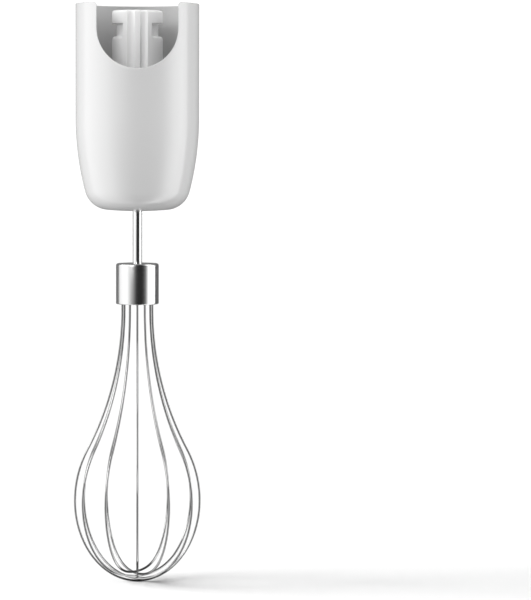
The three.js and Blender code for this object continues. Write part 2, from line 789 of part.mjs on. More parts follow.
const body = new THREE.Group();
body.add(
  piece('housing_shell', housingShell(), 'whiteShell'),
  piece('coupling_tower', couplingTower(), 'whiteInner'),
  piece('deck_seal', deckSeal(), 'rubber'),
  piece('retaining_ring', retainingRing(), 'steel'),
  piece('ring_gear', ringGear(), 'darkNylon'),
  piece('gear_case', gearCase(), 'darkNylon'),
  piece('output_bush', outputBush(), 'bronze'),
  piece('shaft_seal', shaftSeal(), 'rubber'),
  piece('input_bush', inputBush(), 'bronze'),
);
screwAngles.forEach((angle, i) => {
  const screw = piece(`gearbox_screw_${i + 1}`, gearboxScrew(), 'steel');
  body.add(place(screw, onCircle(screwOrbit, angle)));
});

const input = new THREE.Group();
input.add(
  piece('drive_coupler', driveCoupler(), 'darkNylon'),
  piece('coupler_pin', crossRod(couplerPinRadius, couplerHubRadius - fit, couplerPinHeight), 'steel'),
  piece('input_shaft', inputShaft(), 'steel'),
  piece('input_circlip', inputCirclip(), 'steel'),
  piece('sun_gear', spurGear(sunTeeth, inputShaftRadius + fit), 'steel'),
);

const carrier = new THREE.Group();
carrier.add(
  piece('planet_carrier', planetCarrier(), 'naturalNylon'),
  piece('carrier_cap', carrierCap(), 'naturalNylon'),
  piece('thrust_washer', thrustWasher(), 'steel'),
  piece('snap_ring', snapRing(), 'steel'),
);
// A planet turns half a tooth from its own zero, so that a space faces the sun and the ring.
planetAngles.forEach((angle, i) => {
  const centre = onCircle(orbitRadius, angle);
  const gear = spurGear(planetTeeth, boreRadius(planetPinRadius, smallSides));
  const planet = piece(`planet_gear_${i + 1}`, gear, 'naturalNylon');
  carrier.add(place(planet, centre, angle + Math.PI / planetTeeth));
  carrier.add(place(piece(`planet_pin_${i + 1}`, planetPin(), 'steel'), centre));
});

const whisk = new THREE.Group();
whisk.add(
  piece('whisk_shaft', whiskShaft(), 'steel'),
  piece('ferrule', ferrule(), 'brushedSteel'),
  piece('wire_hub', wireHub(), 'darkNylon'),
  piece('hub_cap', hubCap(), 'darkNylon'),
);
// The loop in the XZ plane passes lowest, and those nearest to it follow, one side then the other.
for (let level = 0; level < loopCount; level += 1) {
  const side = level % 2 === 0 ? 1 : -1;
  const turn = side * Math.ceil(level / 2) * Math.PI / loopCount;
  const loop = piece(`wire_loop_${level + 1}`, wireLoop(level), 'steel');
  loop.rotation.z = turn;
  whisk.add(loop);
}

const group = new THREE.Group();
group.add(body, input, carrier, whisk);

export default group;
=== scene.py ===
"""Whisk attachment for a hand blender: fine meshes, finishes, studio and camera."""
import math

import bmesh
import bpy
from mathutils import Matrix, Vector


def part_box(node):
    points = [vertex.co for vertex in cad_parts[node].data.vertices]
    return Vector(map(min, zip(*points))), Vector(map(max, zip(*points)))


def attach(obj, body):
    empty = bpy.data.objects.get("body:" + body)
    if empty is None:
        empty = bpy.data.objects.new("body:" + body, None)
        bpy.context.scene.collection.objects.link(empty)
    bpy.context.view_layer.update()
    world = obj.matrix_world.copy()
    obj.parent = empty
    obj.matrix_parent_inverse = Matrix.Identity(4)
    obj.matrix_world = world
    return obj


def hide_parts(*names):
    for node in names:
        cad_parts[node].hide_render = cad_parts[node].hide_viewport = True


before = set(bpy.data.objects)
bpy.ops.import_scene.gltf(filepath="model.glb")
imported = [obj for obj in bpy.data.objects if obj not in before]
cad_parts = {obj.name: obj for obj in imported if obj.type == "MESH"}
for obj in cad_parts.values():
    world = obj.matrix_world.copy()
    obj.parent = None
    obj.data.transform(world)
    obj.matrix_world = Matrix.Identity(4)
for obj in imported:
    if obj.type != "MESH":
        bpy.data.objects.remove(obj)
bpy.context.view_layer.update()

MM = 0.001
TURN = 2 * math.pi
WELD = 1e-7                # points closer than this are one
SHARP = math.radians(35)   # edges that turn more than this are hard
FIT = 0.1 * MM             # between pieces that are pressed or screwed together
RUNNING = 0.08 * MM        # round a turning piece


# ================================================================ shader maths

class Value:
    """A number or colour that varies over a surface: one output socket, with arithmetic."""

    def __init__(self, finish, socket):
        self.finish = finish
        self.socket = socket

    def maths(self, operation, *operands):
        return self.finish.node("ShaderNodeMath", {"operation": operation}, dict(enumerate(operands)))

    def __add__(self, other):
        return self.maths("ADD", self, other)

    def __sub__(self, other):
        return self.maths("SUBTRACT", self, other)

    def __rsub__(self, other):
        return self.maths("SUBTRACT", other, self)

    def __mul__(self, other):
        return self.maths("MULTIPLY", self, other)

    def __truediv__(self, other):
        return self.maths("DIVIDE", self, other)

    def __pow__(self, other):
        return self.maths("POWER", self, other)

    __radd__ = __add__
    __rmul__ = __mul__

    def clamped(self, low, high):
        return self.maths("MINIMUM", self.maths("MAXIMUM", self, low), high)


class NodeTree:
    """Makes the nodes of one shader tree."""

    def __init__(self, tree):
        self.tree = tree

    def node(self, kind, settings=None, inputs=None, output=0):
        """A node of a type, its settings first, then the values or links of its sockets."""
        made = self.tree.nodes.new(kind)
        for name, setting in (settings or {}).items():
            if name == "stops":
                self.set_stops(made.color_ramp, setting)
            else:
                setattr(made, name, setting)
        for socket, value in (inputs or {}).items():
            self.feed(made.inputs[socket], value)
        return Value(self, made.outputs[output])

    def feed(self, socket, value):
        if isinstance(value, Value):
            self.tree.links.new(value.socket, socket)
        else:
            socket.default_value = value

    @staticmethod
    def set_stops(ramp, stops):
        while len(ramp.elements) < len(stops):
            ramp.elements.new(1.0)
        for element, (place, colour) in zip(ramp.elements, stops):
            element.position = place
            element.color = (*colour, 1.0) if isinstance(colour, tuple) else (colour,) * 3 + (1.0,)

    def blend(self, share, first, second):
        """Mixes two colours."""
        inputs = {"Factor": share, 6: first, 7: second}
        return self.node("ShaderNodeMix", {"data_type": "RGBA"}, inputs, output=2)

    def place(self):
        return self.node("ShaderNodeTexCoord", output="Object")

    def part_of(self, vector, axis):
        """One component of a vector."""
        return self.node("ShaderNodeSeparateXYZ", {}, {0: vector}, output=axis)

    def scaled(self, scale):
        """Object coordinates, stretched along each axis."""
        return self.node("ShaderNodeMapping", {}, {"Vector": self.place(), "Scale": scale})

    def noise(self, scale, detail=2.0, roughness=0.5, vector=None):
        return self.node("ShaderNodeTexNoise", {}, {
            "Vector": vector or self.place(), "Scale": scale, "Detail": detail, "Roughness": roughness})


class Finish(NodeTree):
    """A material on the Principled shader."""

    def __init__(self, name, sockets=None):
        self.material = bpy.data.materials.new(name)
        self.material.use_nodes = True
        super().__init__(self.material.node_tree)
        self.shader = self.tree.nodes["Principled BSDF"]
        for socket, value in (sockets or {}).items():
            self.set(socket, value)

    def set(self, socket, value):
        self.feed(self.shader.inputs[socket], value)

    def bump(self, height, strength, distance):
        inputs = {"Height": height, "Strength": strength, "Distance": distance}
        self.set("Normal", self.node("ShaderNodeBump", {}, inputs))


def grey(level):
    return (level, level, level, 1.0)


# ================================================================ finishes

def moulded_white(name, level, roughness, matt_and_shade_radius=0.0, painted_shade_level=0.6):
    """Satin-gloss white moulding with a fine eggshell grain, left matt inside a radius and greyed there
    with painted shade.
    """
    matt_and_shade_edge, matt_and_shade_from = 0.2 * MM, 200 * MM
    finish = Finish(name, {"IOR": 1.49})
    flow = finish.noise(28, detail=3)
    tint = finish.blend(flow, grey(level), grey(level * 0.993))
    gloss = (flow - 0.5) * 0.02 + roughness
    if matt_and_shade_radius:
        x, y, z = (finish.part_of(finish.place(), axis) for axis in "XYZ")
        inside = (matt_and_shade_radius - (x * x + y * y) ** 0.5) / matt_and_shade_edge
        inside = inside.clamped(0, 1) * ((z - matt_and_shade_from) / MM).clamped(0, 1)
        # Inside, the colour turns grey: painted shade for the shadowed inner wall. The extra roughness
        # below is the real matt finish.
        tint = finish.blend(inside, tint, grey(painted_shade_level))
        gloss = gloss + inside * 0.3
    finish.set("Base Color", tint)
    finish.set("Roughness", gloss)
    grain = finish.noise(2600, detail=2)
    finish.bump(grain, 0.05, 0.03 * MM)
    return finish.material


def drawn_steel(name, level, roughness, stretch):
    """Bright steel with fine lines, drawn along the axis where stretch is small along Z."""
    finish = Finish(name, {"Metallic": 1.0})
    lines = finish.noise(1.0, detail=4, roughness=0.65, vector=finish.scaled(stretch))
    cloud = finish.noise(60, detail=2)
    finish.set("Base Color", finish.blend(cloud, grey(level), grey(level * 0.93)))
    finish.set("Roughness", (lines - 0.5) * 0.12 + (cloud - 0.5) * 0.05 + roughness)
    finish.bump(lines, 0.12, 0.02 * MM)
    return finish.material


def speckled(name, base, fleck, roughness, scale, share, metallic=0.0):
    """A body colour with small flecks, such as pores in bronze or fibres in nylon."""
    finish = Finish(name, {"Metallic": metallic})
    spots = finish.noise(scale, detail=3, roughness=0.6)
    mask = ((spots - (1 - share)) * 12).clamped(0, 1)
    finish.set("Base Color", finish.blend(mask, base, fleck))
    finish.set("Roughness", (spots - 0.5) * 0.25 + roughness)
    finish.bump(spots, 0.2, 0.04 * MM)
    return finish.material


# The shell's inner wall is matt, and greyed with painted shade.
WHITE_SHELL = moulded_white("white_shell", 0.75, 0.20, matt_and_shade_radius=24.45 * MM, painted_shade_level=0.47)
# The tower's white is set lighter than the shell's: painted light, for the light that reaches the tower
# through the notch.
WHITE_INNER = moulded_white("white_inner", 0.96, 0.50)
WIRE_STEEL = drawn_steel("wire_steel", 0.33, 0.08, (900, 900, 60))
SHAFT_STEEL = drawn_steel("shaft_steel", 0.70, 0.15, (500, 500, 2500))
TURNED_STEEL = drawn_steel("turned_steel", 0.62, 0.24, (160, 160, 5200))
SPRING_STEEL = drawn_steel("spring_steel", 0.42, 0.34, (700, 700, 700))
BRONZE = speckled("sintered_bronze", (0.42, 0.25, 0.10, 1), (0.16, 0.09, 0.04, 1), 0.42, 2600, 0.42, 1.0)
ACETAL = speckled("natural_acetal", (0.78, 0.75, 0.66, 1), (0.70, 0.66, 0.56, 1), 0.42, 700, 0.45)
DARK_NYLON = speckled(
    "glass_filled_nylon", (0.022, 0.022, 0.024, 1), (0.07, 0.07, 0.075, 1), 0.5, 2200, 0.38)
RUBBER = speckled("soft_rubber", (0.016, 0.016, 0.016, 1), (0.03, 0.03, 0.03, 1), 0.7, 1500, 0.45)


# ================================================================ meshes

def round_axis(radius, angle, height):
    """A point at an angle from +X."""
    return Vector((radius * math.cos(angle), radius * math.sin(angle), height))


def from_front(radius, angle, height):
    """A point at an angle from -Y, growing towards +X."""
    return Vector((radius * math.sin(angle), -radius * math.cos(angle), height))


def front_ring(radius, height, angles):
    """One row of points at angles from -Y."""
    return [from_front(radius, a, height) for a in angles]


def ring(radius, height, count):
    """One row of points round the axis."""
    return [round_axis(radius, TURN * i / count, height) for i in range(count)]


def arc(centre, radius, first, last, steps):
    """Points of an arc in the (radius, height) plane, both ends included."""
    angles = (first + (last - first) * i / steps for i in range(steps + 1))
    return [(centre[0] + radius * math.cos(a), centre[1] + radius * math.sin(a)) for a in angles]


def rounded(corners, steps=4):
    """A closed outline whose corners (radius, height, fillet) are rounded by their fillets."""
    points = []
    for i, (r, z, fillet) in enumerate(corners):
        here = Vector((r, z))
        before = Vector(corners[i - 1][:2]) - here
        after = Vector(corners[(i + 1) % len(corners)][:2]) - here
        if not fillet or before.length < 1e-9 or after.length < 1e-9:
            points.append((r, z))
            continue
        before.normalize()
        after.normalize()
        half = math.acos(max(-1.0, min(1.0, before.dot(after)))) / 2
        setback = fillet / math.tan(half)
        centre = here + (before + after).normalized() * (fillet / math.sin(half))
        first = here + before * setback - centre
        last = here + after * setback - centre
        sweep = first.angle_signed(last)
        for k in range(steps + 1):
            spoke = first.copy()
            spoke.rotate(Matrix.Rotation(-sweep * k / steps, 2))
            points.append(tuple(centre + spoke))
    return points


def placed(name, data):
    """A new object in the scene, at the origin."""
    obj = bpy.data.objects.new(name, data)
    bpy.context.scene.collection.objects.link(obj)
    return obj


def shaded(mesh):
    """Smooth shading between hard edges."""
    mesh.polygons.foreach_set("use_smooth", [True] * len(mesh.polygons))
    mesh.set_sharp_from_angle(angle=SHARP)
    return mesh


def mesh_object(name, build, material):
    """Runs build on an empty bmesh, closes and orients it, and makes it an object."""
    work = bmesh.new()
    build(work)
    bmesh.ops.remove_doubles(work, verts=work.verts, dist=WELD)
    bmesh.ops.dissolve_degenerate(work, edges=work.edges, dist=WELD)
    bmesh.ops.recalc_face_normals(work, faces=work.faces)
    mesh = bpy.data.meshes.new(name)
    work.to_mesh(mesh)
    work.free()
    mesh.materials.append(material)
    return placed(name, shaded(mesh))


def skin(work, rows, joined=True, closed=True):
    """Quads between rows of points. joined links each row's ends, closed links last row to first."""
    verts = [[work.verts.new(p) for p in row] for row in rows]
    count = len(rows[0])
    pairs = list(zip(verts, verts[1:]))
    if closed:
        pairs.append((verts[-1], verts[0]))
    for lower, upper in pairs:
        for i in range(count if joined else count - 1):
            j = (i + 1) % count
            work.faces.new((lower[i], lower[j], upper[j], upper[i]))


def turned(name, corners, material, segments=96, steps=4):
    """A lathe-turned solid from a closed outline of (radius, height, fillet) corners."""
    profile = rounded(corners, steps)
    rows = [ring(max(r, 0.0), z, segments) for r, z in profile]
    return mesh_object(name, lambda work: skin(work, rows), material)


def bar(radius, low, high, edge=0.0):
    """Outline of a solid bar."""
    return [(0, low, 0), (radius, low, edge), (radius, high, edge), (0, high, 0)]


def sleeve(bore, radius, low, high, inner_edge, outer_edge):
    """Outline of a tube."""
    return [(bore, low, inner_edge), (radius, low, outer_edge),
            (radius, high, outer_edge), (bore, high, inner_edge)]


def reach(node):
    """Outer radius, bottom and top of a node that is centred on the axis."""
    low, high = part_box(node)
    return high[0], low[2], high[2]


def clip_seat(node):
    """Bottom and top of the groove that a spring ring sits in."""
    _, low, high = reach(node)
    return low - FIT, high + FIT


def fit_out(obj, body, slot, *nodes):
    """Hands a finished piece to the frame: the nodes it stands for and its body; slot is not used."""
    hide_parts(*nodes)
    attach(obj, body)


def turned_piece(node, name, body, slot, material, corners, cutters=(), **fineness):
    """A lathe-turned piece with its cuts made, handed to the frame."""
    obj = turned(name, corners, material, **fineness)
    if cutters:
        cut(obj, cutters)
    fit_out(obj, body, slot, node)


def cut(obj, cutters):
    """Subtracts other objects and leaves a plain mesh."""
    for cutter in cutters:
        modifier = obj.modifiers.new("cut", "BOOLEAN")
        modifier.operation = "DIFFERENCE"
        modifier.solver = "EXACT"
        modifier.object = cutter
    baked(obj)
    for cutter in cutters:
        bpy.data.objects.remove(cutter)


def baked(obj):
    """Turns an object with modifiers into a plain mesh."""
    graph = bpy.context.evaluated_depsgraph_get()
    mesh = bpy.data.meshes.new_from_object(obj.evaluated_get(graph))
    obj.modifiers.clear()
    old = obj.data
    obj.data = mesh
    bpy.data.meshes.remove(old)
    shaded(mesh)


def shift(obj, place=(0, 0, 0), turn=0.0):
    """Moves a mesh within its object, so that the object stays at the origin."""
    obj.data.transform(Matrix.Translation(place) @ Matrix.Rotation(turn, 4, "Z"))
    return obj


# ================================================================ geometry-node trees

class Recipe(NodeTree):
    """A Geometry Nodes tree with named inputs."""

    def __init__(self, name, **inputs):
        super().__init__(bpy.data.node_groups.new(name, "GeometryNodeTree"))
        self.tree.is_modifier = True
        face = self.tree.interface
        for way in ("OUTPUT", "INPUT"):
            face.new_socket("Geometry", in_out=way, socket_type="NodeSocketGeometry")
        self.sockets = {}
        for title, kind in inputs.items():
            socket = face.new_socket(title.replace("_", " ").capitalize(), in_out="INPUT", socket_type=kind)
            self.sockets[title] = socket.identifier
        self.entry = self.tree.nodes.new("NodeGroupInput")

    def given(self, title):
        """What a named input holds."""
        names = {item.identifier: index for index, item in enumerate(self.entry.outputs)}
        return Value(self, self.entry.outputs[names[self.sockets[title]]])

    def geometry(self):
        return Value(self, self.entry.outputs[0])

    def ends_in(self, shape):
        """Closes the tree with Realize Instances and Set Material."""
        solid = self.node("GeometryNodeRealizeInstances", {}, {0: shape})
        coated = self.node("GeometryNodeSetMaterial", {}, {
            "Geometry": solid, "Material": self.given("material")})
        out = self.tree.nodes.new("NodeGroupOutput")
        self.tree.links.new(coated.socket, out.inputs[0])
        return self

    def run(self, obj, **values):
        """Applies the tree to an object and leaves a plain mesh."""
        modifier = obj.modifiers.new("recipe", "NODES")
        modifier.node_group = self.tree
        for title, value in values.items():
            modifier[self.sockets[title]] = value
        baked(obj)


def wire_recipe():
    """A round wire along a chain of edges."""
    recipe = Recipe("round_wire", radius="NodeSocketFloat", sides="NodeSocketInt",
                    material="NodeSocketMaterial")
    path = recipe.node("GeometryNodeMeshToCurve", {}, {"Mesh": recipe.geometry()})
    section = recipe.node("GeometryNodeCurvePrimitiveCircle", {}, {
        "Resolution": recipe.given("sides"), "Radius": recipe.given("radius")})
    wire = recipe.node("GeometryNodeCurveToMesh", {}, {
        "Curve": path, "Profile Curve": section, "Fill Caps": True})
    return recipe.ends_in(wire)


def circle_recipe():
    """Copies of a piece round the axis, each turned to face outwards, joined where they touch."""
    recipe = Recipe("copies_round_axis", count="NodeSocketInt", orbit="NodeSocketFloat",
                    first_angle="NodeSocketFloat", weld="NodeSocketFloat", material="NodeSocketMaterial")
    count = recipe.given("count")
    spots = recipe.node("GeometryNodePoints", {}, {"Count": count})
    angle = recipe.node("GeometryNodeInputIndex") * TURN / count + recipe.given("first_angle")
    across = recipe.node("ShaderNodeCombineXYZ", {}, {
        "X": angle.maths("COSINE", angle) * recipe.given("orbit"),
        "Y": angle.maths("SINE", angle) * recipe.given("orbit")})
    spots = recipe.node("GeometryNodeSetPosition", {}, {"Geometry": spots, "Position": across})
    turn = recipe.node("ShaderNodeCombineXYZ", {}, {"Z": angle})
    copies = recipe.node("GeometryNodeInstanceOnPoints", {}, {
        "Points": spots, "Instance": recipe.geometry(), "Rotation": turn})
    solid = recipe.node("GeometryNodeRealizeInstances", {}, {0: copies})
    welded = recipe.node("GeometryNodeMergeByDistance", {}, {
        "Geometry": solid, "Distance": recipe.given("weld")})
    return recipe.ends_in(welded)


ROUND_WIRE = wire_recipe()
COPIES = circle_recipe()


# ================================================================ housing

HOUSING_R, HOUSING_BOTTOM, RIM = reach("housing_shell")
HOUSING_BOTTOM -= 0.02 * MM        # the dome's lowest point lies inside the shaft's hole
WALL = 2.2 * MM
NOTCH_R = 17.25 * MM
NOTCH_Z = RIM - 10.8 * MM
NOTCH_CORNER = 1.3 * MM
RIM_FILLET = 0.28 * MM
FLANK_R, FLANK_Z = 124.5 * MM, HOUSING_BOTTOM + 39.9 * MM
CORNER_R, DOME_R = 10.5 * MM, 150 * MM
SHAFT_HOLE = 2.5 * MM
LEDGE, LEDGE_THICK = HOUSING_BOTTOM + 28.3 * MM, 2.5 * MM


def outer_meeting(a, radius_a, b, radius_b):
    """Where two circles meet, on the side away from the axis."""
    dx, dz = b[0] - a[0], b[1] - a[1]
    distance = math.hypot(dx, dz)
    along = (distance ** 2 + radius_a ** 2 - radius_b ** 2) / (2 * distance)
    across = math.sqrt(radius_a ** 2 - along ** 2)
    return (a[0] + (dx * along + dz * across) / distance, a[1] + (dz * along - dx * across) / distance)


def wall_outline(inset, inner_radius, top):
    """The housing's dome, corner and flank as touching arcs, moved inwards by a wall."""
    flank = (HOUSING_R - FLANK_R, FLANK_Z)
    dome = (0.0, HOUSING_BOTTOM + DOME_R)
    corner = outer_meeting(flank, FLANK_R - CORNER_R, dome, DOME_R - CORNER_R)
    flank_angle = math.atan2(corner[1] - flank[1], corner[0] - flank[0])
    dome_angle = math.atan2(corner[1] - dome[1], corner[0] - dome[0])
    start = -math.acos(inner_radius / (DOME_R - inset))
    end = math.asin((top - flank[1]) / (FLANK_R - inset))
    return (arc(dome, DOME_R - inset, start, dome_angle, 8)
            + arc(corner, CORNER_R - inset, dome_angle, flank_angle, 20)[1:]
            + arc(flank, FLANK_R - inset, flank_angle, end, 24)[1:])


class NotchedRim:
    """The socket's upper wall: a tube with a U-shaped notch and rounded edges all round."""

    bowl_steps, side_steps, corner_steps, back_steps = 48, 10, 5, 132

    def __init__(self, base):
        self.base = base

    def front(self, x, radius, z):
        return Vector((x, -math.sqrt(radius ** 2 - x ** 2), z))

    def round_corner(self, a, b):
        """Maps a unit square's corner onto a unit circle."""
        return a * math.sqrt(1 - b * b / 2), b * math.sqrt(1 - a * a / 2)

    def right_corner(self, inset, a, b):
        """A point in the right-hand corner, a towards the notch and b towards the rim."""
        size = NOTCH_CORNER - inset
        u, v = self.round_corner(a, b)
        x = NOTCH_R + NOTCH_CORNER - u * size
        return x, RIM - NOTCH_CORNER + v * size

    def bowl(self, inset, radius):
        span = NOTCH_R + inset
        angles = (-math.pi / 2 + math.pi * i / self.bowl_steps for i in range(self.bowl_steps + 1))
        return [self.front(span * math.sin(t), radius, NOTCH_Z - span * math.cos(t)) for t in angles]

    def path(self, inset, radius):
        """The edge as one closed loop: bowl, right side and corner, round the back, left side."""
        n = self.corner_steps
        span = NOTCH_R + inset
        low, high = NOTCH_Z, RIM - NOTCH_CORNER
        side = [(span, low + (high - low) * i / self.side_steps) for i in range(1, self.side_steps)]
        side += [self.right_corner(inset, 1, i / n) for i in range(n)]
        side += [self.right_corner(inset, 1 - i / n, 1) for i in range(n)]
        right = [self.front(x, radius, z) for x, z in side]
        left = [Vector((-p.x, p.y, p.z)) for p in reversed(right)]
        edge = math.asin((NOTCH_R + NOTCH_CORNER) / radius)
        back = []
        for i in range(self.back_steps + 1):
            angle = edge + (TURN - 2 * edge) * i / self.back_steps
            back.append(from_front(radius, angle, RIM - inset))
        return self.bowl(inset, radius) + right + back + left

    def azimuths(self, inset, radius):
        """Where the wall's columns stand, from the notch's left edge round to it again."""
        span = NOTCH_R + inset
        bowl = [math.asin(p.x / radius) for p in self.bowl(inset, radius)]
        size = NOTCH_CORNER - inset
        n = self.corner_steps
        corner = [math.asin((span + size * i / n) / radius) for i in range(1, n + 1)]
        edge = corner[-1]
        back = [edge + (TURN - 2 * edge) * i / self.back_steps for i in range(1, self.back_steps)]
        return bowl + corner + back + [TURN - a for a in reversed(corner)]

    def sheet(self, work, inset, radius):
        """One face of the wall, from its base up to the inset edge."""
        n, m = self.corner_steps, self.bowl_steps
        angles = self.azimuths(inset, radius)
        size = NOTCH_CORNER - inset
        bowl = self.bowl(inset, radius)
        rows_below = 8
        below = []
        for k in range(rows_below + 1):
            share = k / rows_below
            row = [Vector((p.x, p.y, self.base + (p.z - self.base) * share)) for p in bowl]
            height = self.base + (NOTCH_Z - self.base) * share
            below.append(row + front_ring(radius, height, angles[m + 1:]))
        skin(work, below, closed=False)
        # The ears and the back, above the notch's centre, from its right edge round to its left.
        upper_angles = angles[m:] + [TURN + angles[0]]
        last = len(upper_angles) - 1
        heights = [NOTCH_Z + (RIM - NOTCH_CORNER - NOTCH_Z) * i / self.side_steps
                   for i in range(self.side_steps + 1)]
        upper = [front_ring(radius, z, upper_angles) for z in heights]
        for k in range(1, n + 1):
            row = front_ring(radius, RIM - NOTCH_CORNER + size * k / n, upper_angles)
            for i in range(n + 1):
                x, z = self.right_corner(inset, 1 - i / n, k / n)
                row[i] = self.front(x, radius, z)
                row[last - i] = self.front(-x, radius, z)
            upper.append(row)
        skin(work, upper, joined=False, closed=False)

    def edge_rows(self, outer, inner):
        """Rounded edge from the outer face over the rim to the inner face."""
        steps = 4
        quarter = [math.pi / 2 * k / steps for k in range(steps + 1)]
        over = [(RIM_FILLET * (1 - math.sin(a)), outer - RIM_FILLET * (1 - math.cos(a))) for a in quarter]
        under = [(inset, inner + outer - radius) for inset, radius in reversed(over)]
        return [self.path(inset, radius) for inset, radius in over + under]


def housing_shell():
    inner = HOUSING_R - WALL
    base = RIM - 34 * MM
    rim = NotchedRim(base)
    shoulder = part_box("coupling_tower")[0][2] - 0.2 * MM
    bore = 23.66 * MM
    ledge_bore = bore - 1.6 * MM
    clip_low, clip_high = clip_seat("retaining_ring")
    clip_r = inner + 0.67 * MM
    seal_r, seal_low, seal_top = reach("shaft_seal")
    boss_bore, boss_top = seal_r + 0.2 * MM, seal_top + 0.2 * MM
    boss_r = boss_bore + 1.4 * MM
    floor = seal_low - 0.2 * MM
    outside = wall_outline(0.0, SHAFT_HOLE, FLANK_Z)
    inside = wall_outline(WALL, boss_r, LEDGE - LEDGE_THICK)
    inner_line = [
        (inner, clip_high), (clip_r, clip_high), (clip_r, clip_low), (inner, clip_low),
        (inner, shoulder), (bore, shoulder), (bore, LEDGE), (ledge_bore, LEDGE),
        (ledge_bore, LEDGE - LEDGE_THICK), *reversed(inside), (boss_r, boss_top),
        (boss_bore, boss_top), (boss_bore, floor), (SHAFT_HOLE, floor)]

    def build(work):
        rim.sheet(work, RIM_FILLET, HOUSING_R)
        rim.sheet(work, RIM_FILLET, inner)
        skin(work, rim.edge_rows(HOUSING_R, inner), closed=False)
        out_angles = rim.azimuths(RIM_FILLET, HOUSING_R)
        in_angles = rim.azimuths(RIM_FILLET, inner)
        down = [(HOUSING_R, base)] + list(reversed(outside))
        skin(work, [front_ring(r, z, out_angles) for r, z in down], closed=False)
        inwards = [(inner, base)] + inner_line
        skin(work, [front_ring(r, z, in_angles) for r, z in inwards], closed=False)
        hole = [front_ring(*outside[0], out_angles), front_ring(SHAFT_HOLE, floor, in_angles)]
        skin(work, hole, closed=False)

    shell = mesh_object("housing_moulding", build, WHITE_SHELL)
    fit_out(shell, "housing", "shell_white", "housing_shell")


# ================================================================ coupling tower

TOWER_R = 10.85 * MM
TOWER_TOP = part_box("coupling_tower")[1][2]
DECK_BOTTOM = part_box("coupling_tower")[0][2]
DECK_TOP = DECK_BOTTOM + 3.6 * MM
LATCH_TOP = TOWER_TOP - 5.6 * MM
LATCH_BOTTOM = LATCH_TOP - 5.5 * MM
LATCH_CORE = 8.9 * MM
LATCH_PANEL = 6.2 * MM
TOWER_BORE = 7.0 * MM
BORE_FLOOR = DECK_TOP + 6 * MM
FLUTE_OFFSET, FLUTE_HALF, FLUTE_DEPTH = 3.0 * MM, 1.7 * MM, 1.0 * MM
SCREW_ORBIT, SCREW_HOLE = 21.1 * MM, 1.1 * MM
SCREW_ANGLES = [math.pi / 6 + TURN * i / 3 for i in range(3)]


def soft_minimum(a, b, softness):
    """The smaller of two lengths, with the corner between them rounded."""
    blend = max(softness - abs(a - b), 0.0) / softness
    return min(a, b) - blend * blend * softness / 4


def flute_radius(angle):
    """Distance from the axis to the tower's fluted face, at an angle from the front."""
    across, forward = abs(math.sin(angle)), abs(math.cos(angle))
    radius = (FLUTE_HALF ** 2 + FLUTE_DEPTH ** 2) / (2 * FLUTE_DEPTH)
    surface = math.sqrt(TOWER_R ** 2 - FLUTE_OFFSET ** 2)
    centre = (FLUTE_OFFSET, surface - FLUTE_DEPTH + radius)
    along = centre[0] * across + centre[1] * forward
    inside = along ** 2 - centre[0] ** 2 - centre[1] ** 2 + radius ** 2
    hit = along - math.sqrt(inside) if inside > 0 else TOWER_R * 2
    return soft_minimum(TOWER_R, hit, 0.22 * MM)


def latch_radius(angle):
    """The same in the latch grooves, which stop at flat panels in front and behind."""
    across = max(abs(math.sin(angle)), 1e-6)
    panel = soft_minimum(flute_radius(angle), LATCH_PANEL / across, 0.25 * MM)
    return max(panel, LATCH_CORE) if panel < TOWER_R else panel


def tower_angles():
    """Even steps, with extra columns round the flutes and the panel edges."""
    quarter = [i * math.pi / 2 / 64 for i in range(65)]
    quarter += [math.asin((FLUTE_OFFSET + side * FLUTE_HALF + d * MM) / TOWER_R)
                for side in (-1, 1) for d in (-0.3, -0.2, -0.1, 0.0, 0.1, 0.2, 0.3)]
    quarter += [math.asin(LATCH_PANEL / TOWER_R) + d for d in (-0.03, -0.02, -0.01, 0, 0.01, 0.02, 0.03)]
    quarter = sorted({round(a, 4) for a in quarter if 0 <= a <= math.pi / 2})
    half = quarter + [math.pi - a for a in reversed(quarter[:-1])]
    return half + [TURN - a for a in reversed(half[1:-1])]


def tower_row(z, plain, grooved=0.0, inset=0.0):
    """One row round the tower. plain mixes the round tower (1) with the fluted one (0)."""
    row = []
    for angle in tower_angles():
        fluted = flute_radius(angle)
        radius = fluted + (TOWER_R - fluted) * plain
        radius += (latch_radius(angle) - radius) * grooved - inset
        row.append(from_front(radius, angle, z))
    return row


